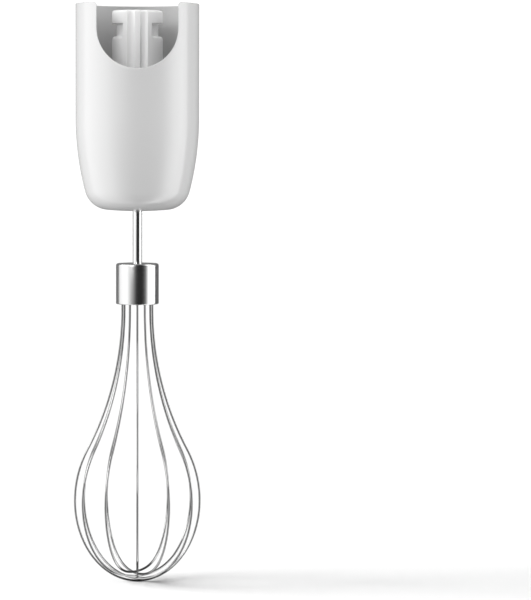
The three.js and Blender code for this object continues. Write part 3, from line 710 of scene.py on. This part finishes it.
def coupling_tower():
    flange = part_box("coupling_tower")[1][1]
    groove_r, groove_low = 22.98 * MM, DECK_BOTTOM + 0.9 * MM
    groove_high = DECK_TOP - 0.9 * MM
    bush = 4.53 * MM
    edge, lip, shoulder = 0.2 * MM, 1.0 * MM, 1.3 * MM
    steps = 5
    quarter = [math.pi / 2 * k / steps for k in range(steps + 1)]
    deep = TOWER_R - LATCH_CORE
    foot_r = 0.8 * MM
    foot = [(TOWER_R + foot_r * (1 - math.sin(a)), DECK_TOP + foot_r * (1 - math.cos(a))) for a in quarter]
    angles = tower_angles()
    rows = [front_ring(r, z, angles) for r, z in [
        (bush, DECK_BOTTOM), (flange - edge, DECK_BOTTOM), (flange, DECK_BOTTOM + edge),
        (flange, groove_low), (groove_r, groove_low), (groove_r, groove_high), (flange, groove_high),
        (flange, DECK_TOP - edge), (flange - edge, DECK_TOP)]]
    rows += [front_ring(r, z, angles) for r, z in foot]
    rows += [tower_row(DECK_TOP + 2.0 * MM, 1), tower_row(DECK_TOP + 2.6 * MM, 0)]
    rows += [tower_row(DECK_TOP + (LATCH_BOTTOM - shoulder - DECK_TOP) * k / 8, 0) for k in range(2, 8)]
    # Up over the rounded lower shoulder, across the groove's floor, up the core, out under the head.
    for a in quarter:
        height, share = shoulder * (1 - math.sin(a)), shoulder * (1 - math.cos(a)) / deep
        rows.append(tower_row(LATCH_BOTTOM - height, 0, share))
    rows.append(tower_row(LATCH_BOTTOM, 0, 0.93))
    core = (LATCH_BOTTOM + 0.15 * MM, LATCH_BOTTOM + 2.5 * MM, LATCH_TOP - 0.1 * MM)
    rows += [tower_row(z, 0, 1.0) for z in core]
    rows.append(tower_row(LATCH_TOP, 0, 0.93))
    rows += [tower_row(LATCH_TOP, 0, edge / deep), tower_row(LATCH_TOP + 0.06 * MM, 0, 0.06 * MM / deep),
             tower_row(LATCH_TOP + edge, 0)]
    rows += [tower_row(LATCH_TOP + (TOWER_TOP - lip - LATCH_TOP) * k / 4, 0) for k in range(1, 4)]
    rows += [tower_row(TOWER_TOP - lip * (1 - math.sin(a)), 0, 0, lip * (1 - math.cos(a))) for a in quarter]
    rows += [front_ring(r, z, angles) for r, z in [
        (TOWER_BORE + 0.4 * MM, TOWER_TOP), (TOWER_BORE, TOWER_TOP - 0.4 * MM),
        (TOWER_BORE, BORE_FLOOR + 0.3 * MM), (TOWER_BORE - 0.3 * MM, BORE_FLOOR),
        (bush + 0.2 * MM, BORE_FLOOR), (bush, BORE_FLOOR - 0.2 * MM)]]
    tower = mesh_object("tower_moulding", lambda work: skin(work, rows), WHITE_INNER)
    cutters = []
    low, seat, high = DECK_BOTTOM - MM, DECK_TOP - 1.7 * MM, DECK_TOP + MM
    head_r = 2.2 * MM
    for angle in SCREW_ANGLES:
        hole = turned("hole", [
            (0, low, 0), (SCREW_HOLE, low, 0), (SCREW_HOLE, seat, 0),
            (head_r, seat, 0), (head_r, high, 0), (0, high, 0)], WHITE_INNER, segments=40)
        cutters.append(shift(hole, round_axis(SCREW_ORBIT, angle, 0)))
    cut(tower, cutters)
    fit_out(tower, "housing", "inner_white", "coupling_tower")
    return tower


housing_shell()
TOWER = coupling_tower()


# ================================================================ balloon whisk

SHAFT_R = reach("whisk_shaft")[0]
WIRE_R = 0.5 * MM
LOOPS = 6
HUB_R, HUB_BOTTOM, HUB_TOP = reach("wire_hub")
NECK_R = HUB_R - 1.7 * MM
BALLOON_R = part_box("wire_loop_1")[1][0] - WIRE_R
EQUATOR, NECK_Z = 35.3 * MM, 118.3 * MM
SHOULDER_R = 48 * MM
WIRE_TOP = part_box("wire_loop_1")[1][2]
CROSSING_SHARPNESS = 5


def loop_half(lift):
    """Half of a wire loop's centre line, as (radius, height) from a leg's top to the pole."""
    inward = SHOULDER_R - (BALLOON_R - NECK_R)
    rise = NECK_Z - EQUATOR
    flare = (inward ** 2 + rise ** 2 - SHOULDER_R ** 2) / (2 * (SHOULDER_R - inward))
    turn = math.asin(rise / (SHOULDER_R + flare))
    depth = EQUATOR - WIRE_R
    line = [(NECK_R, WIRE_TOP + (NECK_Z - WIRE_TOP) * i / 4) for i in range(4)]
    for i in range(28):
        a = turn * i / 28
        line.append((NECK_R + flare * (1 - math.cos(a)), NECK_Z - flare * math.sin(a)))
    for i in range(16):
        a = turn * (1 - i / 16)
        line.append((BALLOON_R - SHOULDER_R * (1 - math.cos(a)), EQUATOR + SHOULDER_R * math.sin(a)))
    for i in range(45):
        a = math.pi / 2 * i / 44
        raised = lift * math.sin(a) ** CROSSING_SHARPNESS
        line.append((BALLOON_R * math.cos(a), EQUATOR - depth * math.sin(a) + raised))
    return line


def wire_loop(level):
    node = f"wire_loop_{level + 1}"
    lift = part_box(node)[0][2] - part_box("wire_loop_1")[0][2]
    side = 1 if level % 2 == 0 else -1
    turn = side * math.ceil(level / 2) * math.pi / LOOPS
    half = loop_half(lift)
    line = half + [(-r, z) for r, z in reversed(half[:-1])]
    mesh = bpy.data.meshes.new("wire_path")
    points = [round_axis(r, turn, z) for r, z in line]
    mesh.from_pydata(points, [(i, i + 1) for i in range(len(points) - 1)], [])
    obj = placed(f"whisk_wire_{level + 1}", mesh)
    ROUND_WIRE.run(obj, radius=WIRE_R, sides=20, material=WIRE_STEEL)
    fit_out(obj, "whisk", "polished_steel", node)


for loop_level in range(LOOPS):
    wire_loop(loop_level)


def ferrule():
    radius, bottom, top = reach("ferrule")
    bore, hole, ceiling = radius - 0.9 * MM, SHAFT_R + FIT, top - 1.5 * MM
    corners = [
        (bore, bottom, 0.3 * MM), (radius, bottom, 0.45 * MM), (radius, top, 0.9 * MM),
        (hole, top, 0.15 * MM), (hole, ceiling, 0), (bore, ceiling, 0.3 * MM)]
    turned_piece("ferrule", "ferrule_cap", "whisk", "brushed_steel", TURNED_STEEL, corners,
                 segments=160, steps=8)


def wire_hub():
    hole, leg_hole = SHAFT_R + FIT, WIRE_R + FIT
    corners = [(hole, HUB_BOTTOM, 0.15 * MM), (HUB_R, HUB_BOTTOM, 0.35 * MM),
               (HUB_R, HUB_TOP, 0.1 * MM), (hole, HUB_TOP, 0)]
    pin = turned("hole", bar(leg_hole, HUB_BOTTOM - MM, HUB_TOP + MM), DARK_NYLON, segments=20)
    COPIES.run(pin, count=2 * LOOPS, orbit=NECK_R, first_angle=0.0, weld=WELD, material=DARK_NYLON)
    turned_piece("wire_hub", "wire_hub_disc", "whisk", "dark_nylon", DARK_NYLON, corners, [pin],
                 segments=120)


ferrule()
wire_hub()


# ================================================================ round pieces

GROOVE_DEPTH = 0.4 * MM
FLAT_LENGTH = 14 * MM
SPINDLE_R, BUSH_R = 4.6 * MM, 7.5 * MM
CLIP_GAP = 1.6 * MM


def tube_piece(node, name, body, slot, material, bore, edge=0.1 * MM):
    """A plain tube with broken edges, as wide and high as its node."""
    radius, low, high = reach(node)
    outline = sleeve(bore, radius, low, high, edge, edge)
    turned_piece(node, name, body, slot, material, outline)


def hexagon(corner):
    return [(corner * math.cos(TURN * i / 6), corner * math.sin(TURN * i / 6)) for i in range(6)]


def prism(outline, low, high, material):
    """A straight block over a closed outline of (x, y) points, to cut with."""
    rows = [[Vector((x, y, z)) for x, y in outline] for z in (low, high)]
    return mesh_object("hole", lambda work: capped(work, rows), material)


def capped(work, rows):
    """Quads between rows, closed at both ends."""
    skin(work, rows, closed=False)
    for row in (rows[0], rows[-1]):
        work.faces.new([work.verts.new(p) for p in row])


def drill(radius, low, high, material, segments=48):
    """A round cutter along the axis."""
    return turned("hole", bar(radius, low, high), material, segments)


def side_pieces(half_flats, low, high, material):
    """Cutters in front of and behind two flats that face -Y and +Y."""
    wide, deep = 3 * SHAFT_R, 2 * SHAFT_R
    cutters = []
    for side in (-1, 1):
        near, far = side * half_flats, side * deep
        outline = [(-wide, near), (wide, near), (wide, far), (-wide, far)]
        cutters.append(prism(outline, low, high, material))
    return cutters


def cross_bar(name, radius, half_length, height, material, edge=0.0):
    """A round bar along X with broken ends."""
    rod = turned(name, bar(radius, -half_length, half_length, edge), material, segments=40)
    rod.data.transform(Matrix.Translation((0, 0, height)) @ Matrix.Rotation(math.pi / 2, 4, "Y"))
    return rod


def cross_hole(half_length, material):
    """The hole that the coupler's cross pin goes through."""
    low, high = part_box("coupler_pin")
    radius = (high[2] - low[2]) / 2 + FIT
    return cross_bar("hole", radius, half_length, (low[2] + high[2]) / 2, material)


def whisk_shaft():
    radius, low, high = reach("whisk_shaft")
    groove, edge = radius - GROOVE_DEPTH, 0.05 * MM
    clip_low, clip_high = clip_seat("snap_ring")
    turned_piece("whisk_shaft", "whisk_rod", "whisk", "polished_steel", SHAFT_STEEL, [
        (0, low, 0), (radius, low, 0.2 * MM), (radius, clip_low, edge), (groove, clip_low, edge),
        (groove, clip_high, edge), (radius, clip_high, edge), (radius, high - GROOVE_DEPTH, edge),
        (groove, high, edge), (0, high, 0)],
        side_pieces(groove, high - FLAT_LENGTH, high + MM, SHAFT_STEEL), segments=128)


def drive_coupler():
    radius, low, high = reach("drive_coupler")
    hub, hub_length, step = 5.5 * MM, 12 * MM, 0.3 * MM
    corner, socket_depth = 4 * MM / math.cos(math.pi / 6), 13.5 * MM
    mouth_depth, over = 0.7 * MM, 0.1 * MM
    mouth = turned("hole", [
        (0, high - mouth_depth, 0), (corner - 0.5 * MM, high - mouth_depth, 0),
        (corner + 0.3 * MM, high + over, 0), (0, high + over, 0)], DARK_NYLON)
    turned_piece("drive_coupler", "drive_socket", "input_drive", "dark_nylon", DARK_NYLON, [
        (0, low, 0), (hub, low, 0.4 * MM), (hub, low + hub_length, step),
        (radius, low + hub_length + MM, step), (radius, high, 0.5 * MM), (0, high, 0)], [
        drill(SHAFT_R + FIT, low - MM, reach("input_shaft")[2] + 0.2 * MM, DARK_NYLON),
        prism(hexagon(corner), high - socket_depth, high + MM, DARK_NYLON),
        mouth, cross_hole(radius + MM, DARK_NYLON)], segments=128)


def coupler_pin():
    low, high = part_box("coupler_pin")
    pin = cross_bar("coupler_cross_pin", (high[2] - low[2]) / 2, high[0], (low[2] + high[2]) / 2,
                    SPRING_STEEL, 0.2 * MM)
    fit_out(pin, "input_drive", "spring_steel", "coupler_pin")


def input_shaft():
    radius, low, high = reach("input_shaft")
    groove = radius - GROOVE_DEPTH
    clip_low, clip_high = clip_seat("input_circlip")
    turned_piece("input_shaft", "input_rod", "input_drive", "polished_steel", SHAFT_STEEL, [
        (0, low, 0), (radius, low, 0.25 * MM), (radius, clip_low, 0), (groove, clip_low, 0),
        (groove, clip_high, 0), (radius, clip_high, 0), (radius, high, 0.3 * MM), (0, high, 0)],
        [cross_hole(2 * radius, SHAFT_STEEL)])


def output_bush():
    flange, low, high = reach("output_bush")
    bore, thick, edge = SPINDLE_R + RUNNING, 1.0 * MM, 0.2 * MM
    turned_piece("output_bush", "output_bearing", "housing", "bronze", BRONZE, [
        (bore, low, edge), (flange, low, edge), (flange, low + thick, edge / 2),
        (BUSH_R, low + thick, 0), (BUSH_R, high, edge), (bore, high, edge)], segments=120)


def shaft_seal():
    """A lip that touches the shaft at half height, and a shallow V groove round the outside."""
    radius, low, high = reach("shaft_seal")
    lip, middle = SHAFT_R + RUNNING, (low + high) / 2
    mouth, half_groove, groove_depth, edge = lip + 0.8 * MM, 0.5 * MM, 0.25 * MM, 0.1 * MM
    turned_piece("shaft_seal", "shaft_lip_seal", "housing", "rubber", RUBBER, [
        (mouth, low, 0.15 * MM), (radius, low, 2 * edge), (radius, middle - half_groove, edge),
        (radius - groove_depth, middle, edge), (radius, middle + half_groove, edge),
        (radius, high, 2 * edge), (mouth, high, 0.15 * MM), (lip, middle, 0.06 * MM)])


def deck_seal():
    radius, low, high = reach("deck_seal")
    bore = 23.1 * MM
    outline = sleeve(bore, radius, low, high, 0.3 * MM, 0.45 * MM)
    turned_piece("deck_seal", "deck_sealing_ring", "housing", "rubber", RUBBER, outline, segments=160)


def open_ring(node, name, body, inner, gap, middle, segments, edge):
    """A spring ring with a gap whose middle is at an angle, its edges broken."""
    box_low, box_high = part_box(node)
    low, high = box_low[2], box_high[2]
    radius = max(box_high[1], -box_low[0])
    half = math.asin(gap / 2 / radius)
    section = [(inner, low + edge), (inner + edge, low), (radius - edge, low), (radius, low + edge),
               (radius, high - edge), (radius - edge, high), (inner + edge, high), (inner, high - edge)]
    angles = [middle + half + (TURN - 2 * half) * i / segments for i in range(segments + 1)]
    rows = [[round_axis(r, a, z) for r, z in section] for a in angles]
    spring = mesh_object(name, lambda work: capped(work, rows), SPRING_STEEL)
    fit_out(spring, body, "spring_steel", node)


# ================================================================ gear train

SUN_TEETH, PLANET_TEETH, RING_TEETH = 12, 18, 48
PIN_R = 1.5 * MM
ORBIT = (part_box("planet_pin_1")[0][1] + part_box("planet_pin_1")[1][1]) / 2
MODULE = ORBIT / (SUN_TEETH + PLANET_TEETH) * 2
PRESSURE = math.radians(25)
ADDENDUM, DEDENDUM = 0.8 * MODULE, 1.0 * MODULE
BACKLASH = 0.12 * MM
TOOTH_EDGE = 0.12 * MM
PLANET_ANGLES = [math.pi / 2 + TURN * i / 3 for i in range(3)]
PLATE = 3.0 * MM
PILOT_DEPTH = 2.4 * MM
END_FLOAT = 0.2 * MM


def pitch_radius(teeth):
    return MODULE * teeth / 2


def half_tooth(teeth, radius, thinning):
    """Half the angle that an involute tooth covers at a radius."""
    pitch = pitch_radius(teeth)
    here = math.acos(min(1.0, pitch * math.cos(PRESSURE) / radius))
    involute = math.tan(PRESSURE) - PRESSURE - (math.tan(here) - here)
    return math.pi / (2 * teeth) - thinning / (2 * pitch) + involute


def tooth_outline(teeth, root, tip, thinning, inset):
    """One tooth's share of a toothed outline, as (radius, angle), pulled in by an inset."""
    flank = [root + (tip - root) * i / 7 for i in range(8)]
    half = math.pi / teeth
    rising = [(r - inset, -half_tooth(teeth, r, thinning) + inset / r) for r in flank]
    valley = rising[0][1]
    left = [(root - inset, -half + (valley + half) * i / 3) for i in range(3)] + rising
    top = [(tip - inset, rising[-1][1] * (1 - k)) for k in (0.5, 1.0)]
    return left + top + [(r, -angle) for r, angle in reversed(left + top[:1])]


def tooth_sector(teeth, root, tip, thinning, plain, low, high, edge):
    """A gear's slice with one tooth, between a plain circle and the teeth, open at its sides."""
    sharp, broken = (tooth_outline(teeth, root, tip, thinning, inset) for inset in (0.0, edge))
    last = len(sharp) - 1
    even = [(plain, -math.pi / teeth + TURN / teeth * i / last) for i in range(last + 1)]
    chamfer = abs(edge)
    levels = [(even, low), (broken, low), (sharp, low + chamfer),
              (sharp, high - chamfer), (broken, high), (even, high)]
    rows = [[round_axis(r, a, z) for r, a in row] for row, z in levels]
    return lambda work: skin(work, rows, joined=False)


def gear(name, teeth, root, tip, thinning, plain, node, edge, material):
    """A whole gear from copies of one tooth's slice, welded together."""
    _, low, high = reach(node)
    wheel = mesh_object(name, tooth_sector(teeth, root, tip, thinning, plain, low, high, edge), material)
    COPIES.run(wheel, count=teeth, orbit=0.0, first_angle=0.0, weld=0.002 * MM, material=material)
    close_up(wheel.data)
    return wheel


def close_up(mesh):
    """Welds seams and turns every face outwards."""
    work = bmesh.new()
    work.from_mesh(mesh)
    bmesh.ops.remove_doubles(work, verts=work.verts, dist=WELD)
    bmesh.ops.recalc_face_normals(work, faces=work.faces)
    work.to_mesh(mesh)
    work.free()
    shaded(mesh)


def spur_gear(name, teeth, bore, node, material):
    pitch = pitch_radius(teeth)
    return gear(name, teeth, pitch - DEDENDUM, pitch + ADDENDUM, BACKLASH, bore, node, TOOTH_EDGE, material)


def ring_of_drills(angles, orbit, radius, low, high, material, segments=48):
    return [shift(drill(radius, low, high, material, segments), round_axis(orbit, a, 0)) for a in angles]


def screw_drills(low, high):
    return ring_of_drills(SCREW_ANGLES, SCREW_ORBIT, SCREW_HOLE, low, high, DARK_NYLON)


def pin_drills(low, high):
    return ring_of_drills(PLANET_ANGLES, ORBIT, PIN_R + FIT, low, high, ACETAL, segments=42)


def ring_gear():
    """The spaces of an internal gear have the shape of an external gear's teeth."""
    radius, low, high = reach("ring_gear")
    pitch = pitch_radius(RING_TEETH)
    teeth = gear("toothed_ring", RING_TEETH, pitch - ADDENDUM, pitch + DEDENDUM, -BACKLASH,
                 radius, "ring_gear", -TOOTH_EDGE, DARK_NYLON)
    shift(teeth, turn=math.pi / RING_TEETH)
    cut(teeth, screw_drills(low - MM, high + MM))
    fit_out(teeth, "housing", "dark_nylon", "ring_gear")


def gear_case():
    radius, low, high = reach("gear_case")
    bore, tube_r, lower = BUSH_R + FIT, 9.8 * MM, 21.7 * MM
    recess = reach("planet_carrier")[0] + 2 * MM
    edge = 0.2 * MM
    turned_piece("gear_case", "gear_case_moulding", "housing", "dark_nylon", DARK_NYLON, [
        (bore, low, edge / 2), (tube_r, low, 0.3 * MM), (tube_r, LEDGE - LEDGE_THICK, 0.4 * MM),
        (lower, LEDGE - LEDGE_THICK, 0.3 * MM), (lower, LEDGE + FIT, 0), (radius, LEDGE + FIT, edge),
        (radius, high, edge), (recess, high, edge), (recess, LEDGE, 0.3 * MM), (bore, LEDGE, edge)],
        screw_drills(reach("gearbox_screw_1")[1] - FIT, high + MM), segments=160)


def gearbox_screws():
    _, low, high = reach("gearbox_screw_1")
    head, head_r, recess = high - 1.6 * MM, 1.9 * MM, 0.9 * MM
    core, crest, pitch = 0.8 * MM, 1.0 * MM, 0.45 * MM
    thread = []
    for i in range(int((head - low - 1.0 * MM) / pitch)):
        z = low + 0.5 * MM + i * pitch
        thread += [(core, z, 0), (crest, z + pitch * 0.4, 0),
                   (crest, z + pitch * 0.55, 0), (core, z + pitch * 0.95, 0)]
    screw = turned("gearbox_screws", [
        (0, low, 0), (core, low, 0.15 * MM), *thread, (crest, thread[-1][1] + 0.2 * MM, 0),
        (crest, head, 0), (head_r, head, 0.1 * MM), (head_r, high, 0.4 * MM), (0, high, 0)],
        SPRING_STEEL, segments=36)
    cut(screw, [prism(hexagon(recess), high - recess, high + MM, SPRING_STEEL)])
    COPIES.run(screw, count=3, orbit=SCREW_ORBIT, first_angle=SCREW_ANGLES[0], weld=WELD,
               material=SPRING_STEEL)
    fit_out(screw, "housing", "spring_steel", "gearbox_screw_1", "gearbox_screw_2", "gearbox_screw_3")


def planet_carrier():
    radius, low, high = reach("planet_carrier")
    plate, edge = high - PLATE, 0.3 * MM
    shaft_top = reach("whisk_shaft")[2]
    bore_top = shaft_top + 3 * END_FLOAT
    bore = drill(SHAFT_R + FIT, low - MM, bore_top, ACETAL, segments=96)
    flats = shaft_top - FLAT_LENGTH + END_FLOAT
    cut(bore, side_pieces(SHAFT_R - GROOVE_DEPTH + RUNNING, flats, bore_top + MM, ACETAL))
    turned_piece("planet_carrier", "carrier_moulding", "carrier", "natural_nylon", ACETAL, [
        (0, low, 0), (SPINDLE_R, low, 0.25 * MM), (SPINDLE_R, plate, 0.2 * MM),
        (radius, plate, edge), (radius, high, edge), (0, high, 0)], [
        bore, drill(reach("snap_ring")[0] + FIT, *clip_seat("snap_ring"), ACETAL),
        drill(SHAFT_R + RUNNING, high - PILOT_DEPTH, high + MM, ACETAL),
        *pin_drills(plate - MM, high + MM)], segments=160)


def carrier_cap():
    radius, low, high = reach("carrier_cap")
    passage = pitch_radius(SUN_TEETH) + MODULE
    outline = sleeve(passage, radius, low, high, 0.2 * MM, 0.3 * MM)
    turned_piece("carrier_cap", "carrier_cap_plate", "carrier", "natural_nylon", ACETAL, outline,
                 pin_drills(low - MM, high + MM), segments=160)


def planet_pins():
    _, low, high = reach("planet_pin_1")
    pin = turned("planet_pins", bar(PIN_R, low, high, 0.25 * MM), SHAFT_STEEL, segments=48)
    COPIES.run(pin, count=3, orbit=ORBIT, first_angle=PLANET_ANGLES[0], weld=WELD, material=SHAFT_STEEL)
    fit_out(pin, "carrier", "polished_steel", "planet_pin_1", "planet_pin_2", "planet_pin_3")


def planet_gears():
    """Each planet turns half a tooth from its own zero, so that a space faces the sun and the ring."""
    for i, angle in enumerate(PLANET_ANGLES, 1):
        wheel = spur_gear(f"planet_wheel_{i}", PLANET_TEETH, PIN_R + RUNNING, f"planet_gear_{i}", ACETAL)
        shift(wheel, round_axis(ORBIT, angle, 0), angle + math.pi / PLANET_TEETH)
        fit_out(wheel, f"planet_{i}", "natural_nylon", f"planet_gear_{i}")


def sun_gear():
    wheel = spur_gear("sun_pinion", SUN_TEETH, SHAFT_R + FIT, "sun_gear", TURNED_STEEL)
    fit_out(wheel, "input_drive", "brushed_steel", "sun_gear")


whisk_shaft()
tube_piece("hub_cap", "hub_spacer", "whisk", "dark_nylon", DARK_NYLON, SHAFT_R + FIT, 0.3 * MM)
drive_coupler()
coupler_pin()
input_shaft()
tube_piece("input_bush", "input_bearing", "housing", "bronze", BRONZE, SHAFT_R + RUNNING, 0.2 * MM)
output_bush()
shaft_seal()
deck_seal()
tube_piece("thrust_washer", "thrust_disc", "carrier", "spring_steel", SPRING_STEEL, SPINDLE_R + 0.3 * MM)
open_ring("retaining_ring", "deck_spring_ring", "housing", reach("retaining_ring")[0] - 2 * MM,
          9 * MM, math.pi / 2, 180, 0.12 * MM)
open_ring("snap_ring", "shaft_snap_ring", "carrier", SHAFT_R + 2 * RUNNING, CLIP_GAP, 0.0, 64, 0.1 * MM)
open_ring("input_circlip", "input_spring_clip", "input_drive", SHAFT_R - GROOVE_DEPTH + FIT,
          CLIP_GAP, 0.0, 64, 0.1 * MM)
ring_gear()
gear_case()
gearbox_screws()
planet_carrier()
carrier_cap()
planet_pins()
planet_gears()
sun_gear()


# ================================================================ studio

def studio_world():
    """A ring of soft light: bright panels left and right, dark in front and behind."""
    world = bpy.data.worlds.new("studio")
    world.use_nodes = True
    bpy.context.scene.world = world
    tree = NodeTree(world.node_tree)
    tree.tree.nodes.clear()
    direction = tree.node("ShaderNodeTexCoord", output="Generated")
    x, y, z = (tree.part_of(direction, axis) for axis in "XYZ")
    # Share of a full turn: 0.5 faces the front, less is to the left, more to the right.
    around = x.maths("ARCTAN2", x, y * -1.0) / TURN + 0.5

    def at(degrees):
        return degrees / 360 + 0.5

    stops = [
        (at(-180), 0.25), (at(-119), 0.25), (at(-115), 1.5), (at(-58), 1.85), (at(-34), 0.60),
        (at(-8), 0.02), (at(30), 0.02), (at(48), 0.25), (at(72), 3.1), (at(104), 3.4),
        (at(108), 0.12), (at(180), 0.25)]
    band = tree.node("ShaderNodeValToRGB", {"stops": stops}, {0: around})
    ceiling, ground, fade = 0.55, 0.30, 6        # where the band ends above and below, and how fast
    upper = ((z - ceiling) * fade).clamped(0, 1)
    lower = ((z * -1.0 - ground) * fade).clamped(0, 1)
    lit = tree.blend(lower, tree.blend(upper, band, grey(0.75)), grey(0.66))
    mirrored = tree.node("ShaderNodeLightPath", output="Is Glossy Ray")
    lit = tree.blend(mirrored, lit, band)
    glow = tree.node("ShaderNodeBackground", {}, {"Color": lit, "Strength": 1.0})
    plain = tree.node("ShaderNodeBackground", {}, {"Color": grey(1.0), "Strength": 1.1})
    seen = tree.node("ShaderNodeLightPath", output="Is Camera Ray")
    both = tree.node("ShaderNodeMixShader", {}, {0: seen, 1: glow, 2: plain})
    out = tree.tree.nodes.new("ShaderNodeOutputWorld")
    tree.tree.links.new(both.socket, out.inputs["Surface"])


def studio_floor():
    size = 6.0
    mesh = bpy.data.meshes.new("studio_floor")
    corners = [(-size, -size, 0), (size, -size, 0), (size, size, 0), (-size, size, 0)]
    mesh.from_pydata(corners, [], [(0, 1, 2, 3)])
    floor = placed("studio_floor", mesh)
    paper = Finish("pale_floor", {"Base Color": grey(0.30), "Roughness": 0.9, "Specular IOR Level": 0.0})
    mesh.materials.append(paper.material)
    floor.visible_diffuse = False
    floor.visible_glossy = False
    return floor


def lamp(name, place, energy, softness, only=None):
    """A distant soft lamp in a direction, softness degrees wide, on everything or on one object only."""
    light = bpy.data.lights.new(name, "SUN")
    light.energy = energy
    light.angle = math.radians(softness)
    obj = placed(name, light)
    obj.location = place
    obj.rotation_euler = Vector(place).to_track_quat("Z", "Y").to_euler()
    if only:
        lit = bpy.data.collections.new(name + "_lights")
        lit.objects.link(only)
        obj.light_linking.receiver_collection = lit


def camera():
    """At housing height, aimed a little down and right, so that the whisk stands left of the middle."""
    distance, height = 1.25, 0.193
    pan, tilt, roll = (math.radians(degrees) for degrees in (2.5332, 3.2328, 0.15))
    data = bpy.data.cameras.new("camera")
    data.sensor_fit = "VERTICAL"
    data.sensor_height = 36.0
    data.lens = 174.0
    data.clip_start, data.clip_end = 0.05, 30
    obj = placed("camera", data)
    turn = (Matrix.Rotation(-pan, 4, "Z") @ Matrix.Rotation(math.pi / 2 - tilt, 4, "X")
            @ Matrix.Rotation(roll, 4, "Z"))
    obj.matrix_world = Matrix.Translation((0, -distance, height)) @ turn
    bpy.context.scene.camera = obj


studio_world()
FLOOR = studio_floor()
camera()
bpy.context.scene.view_settings.view_transform = "Standard"
lamp("left_lamp", (-1.0, 0.0, 0.40), 0.55, 20)
lamp("front_key", (-0.50, -0.85, 0.34), 0.78, 24)
lamp("paper_lamp", (-1.0, 0.05, 0.40), 21.4, 32, only=FLOOR)
lamp("tower_fill", (0.0, -1.0, 1.0), 0.26, 30, only=TOWER)
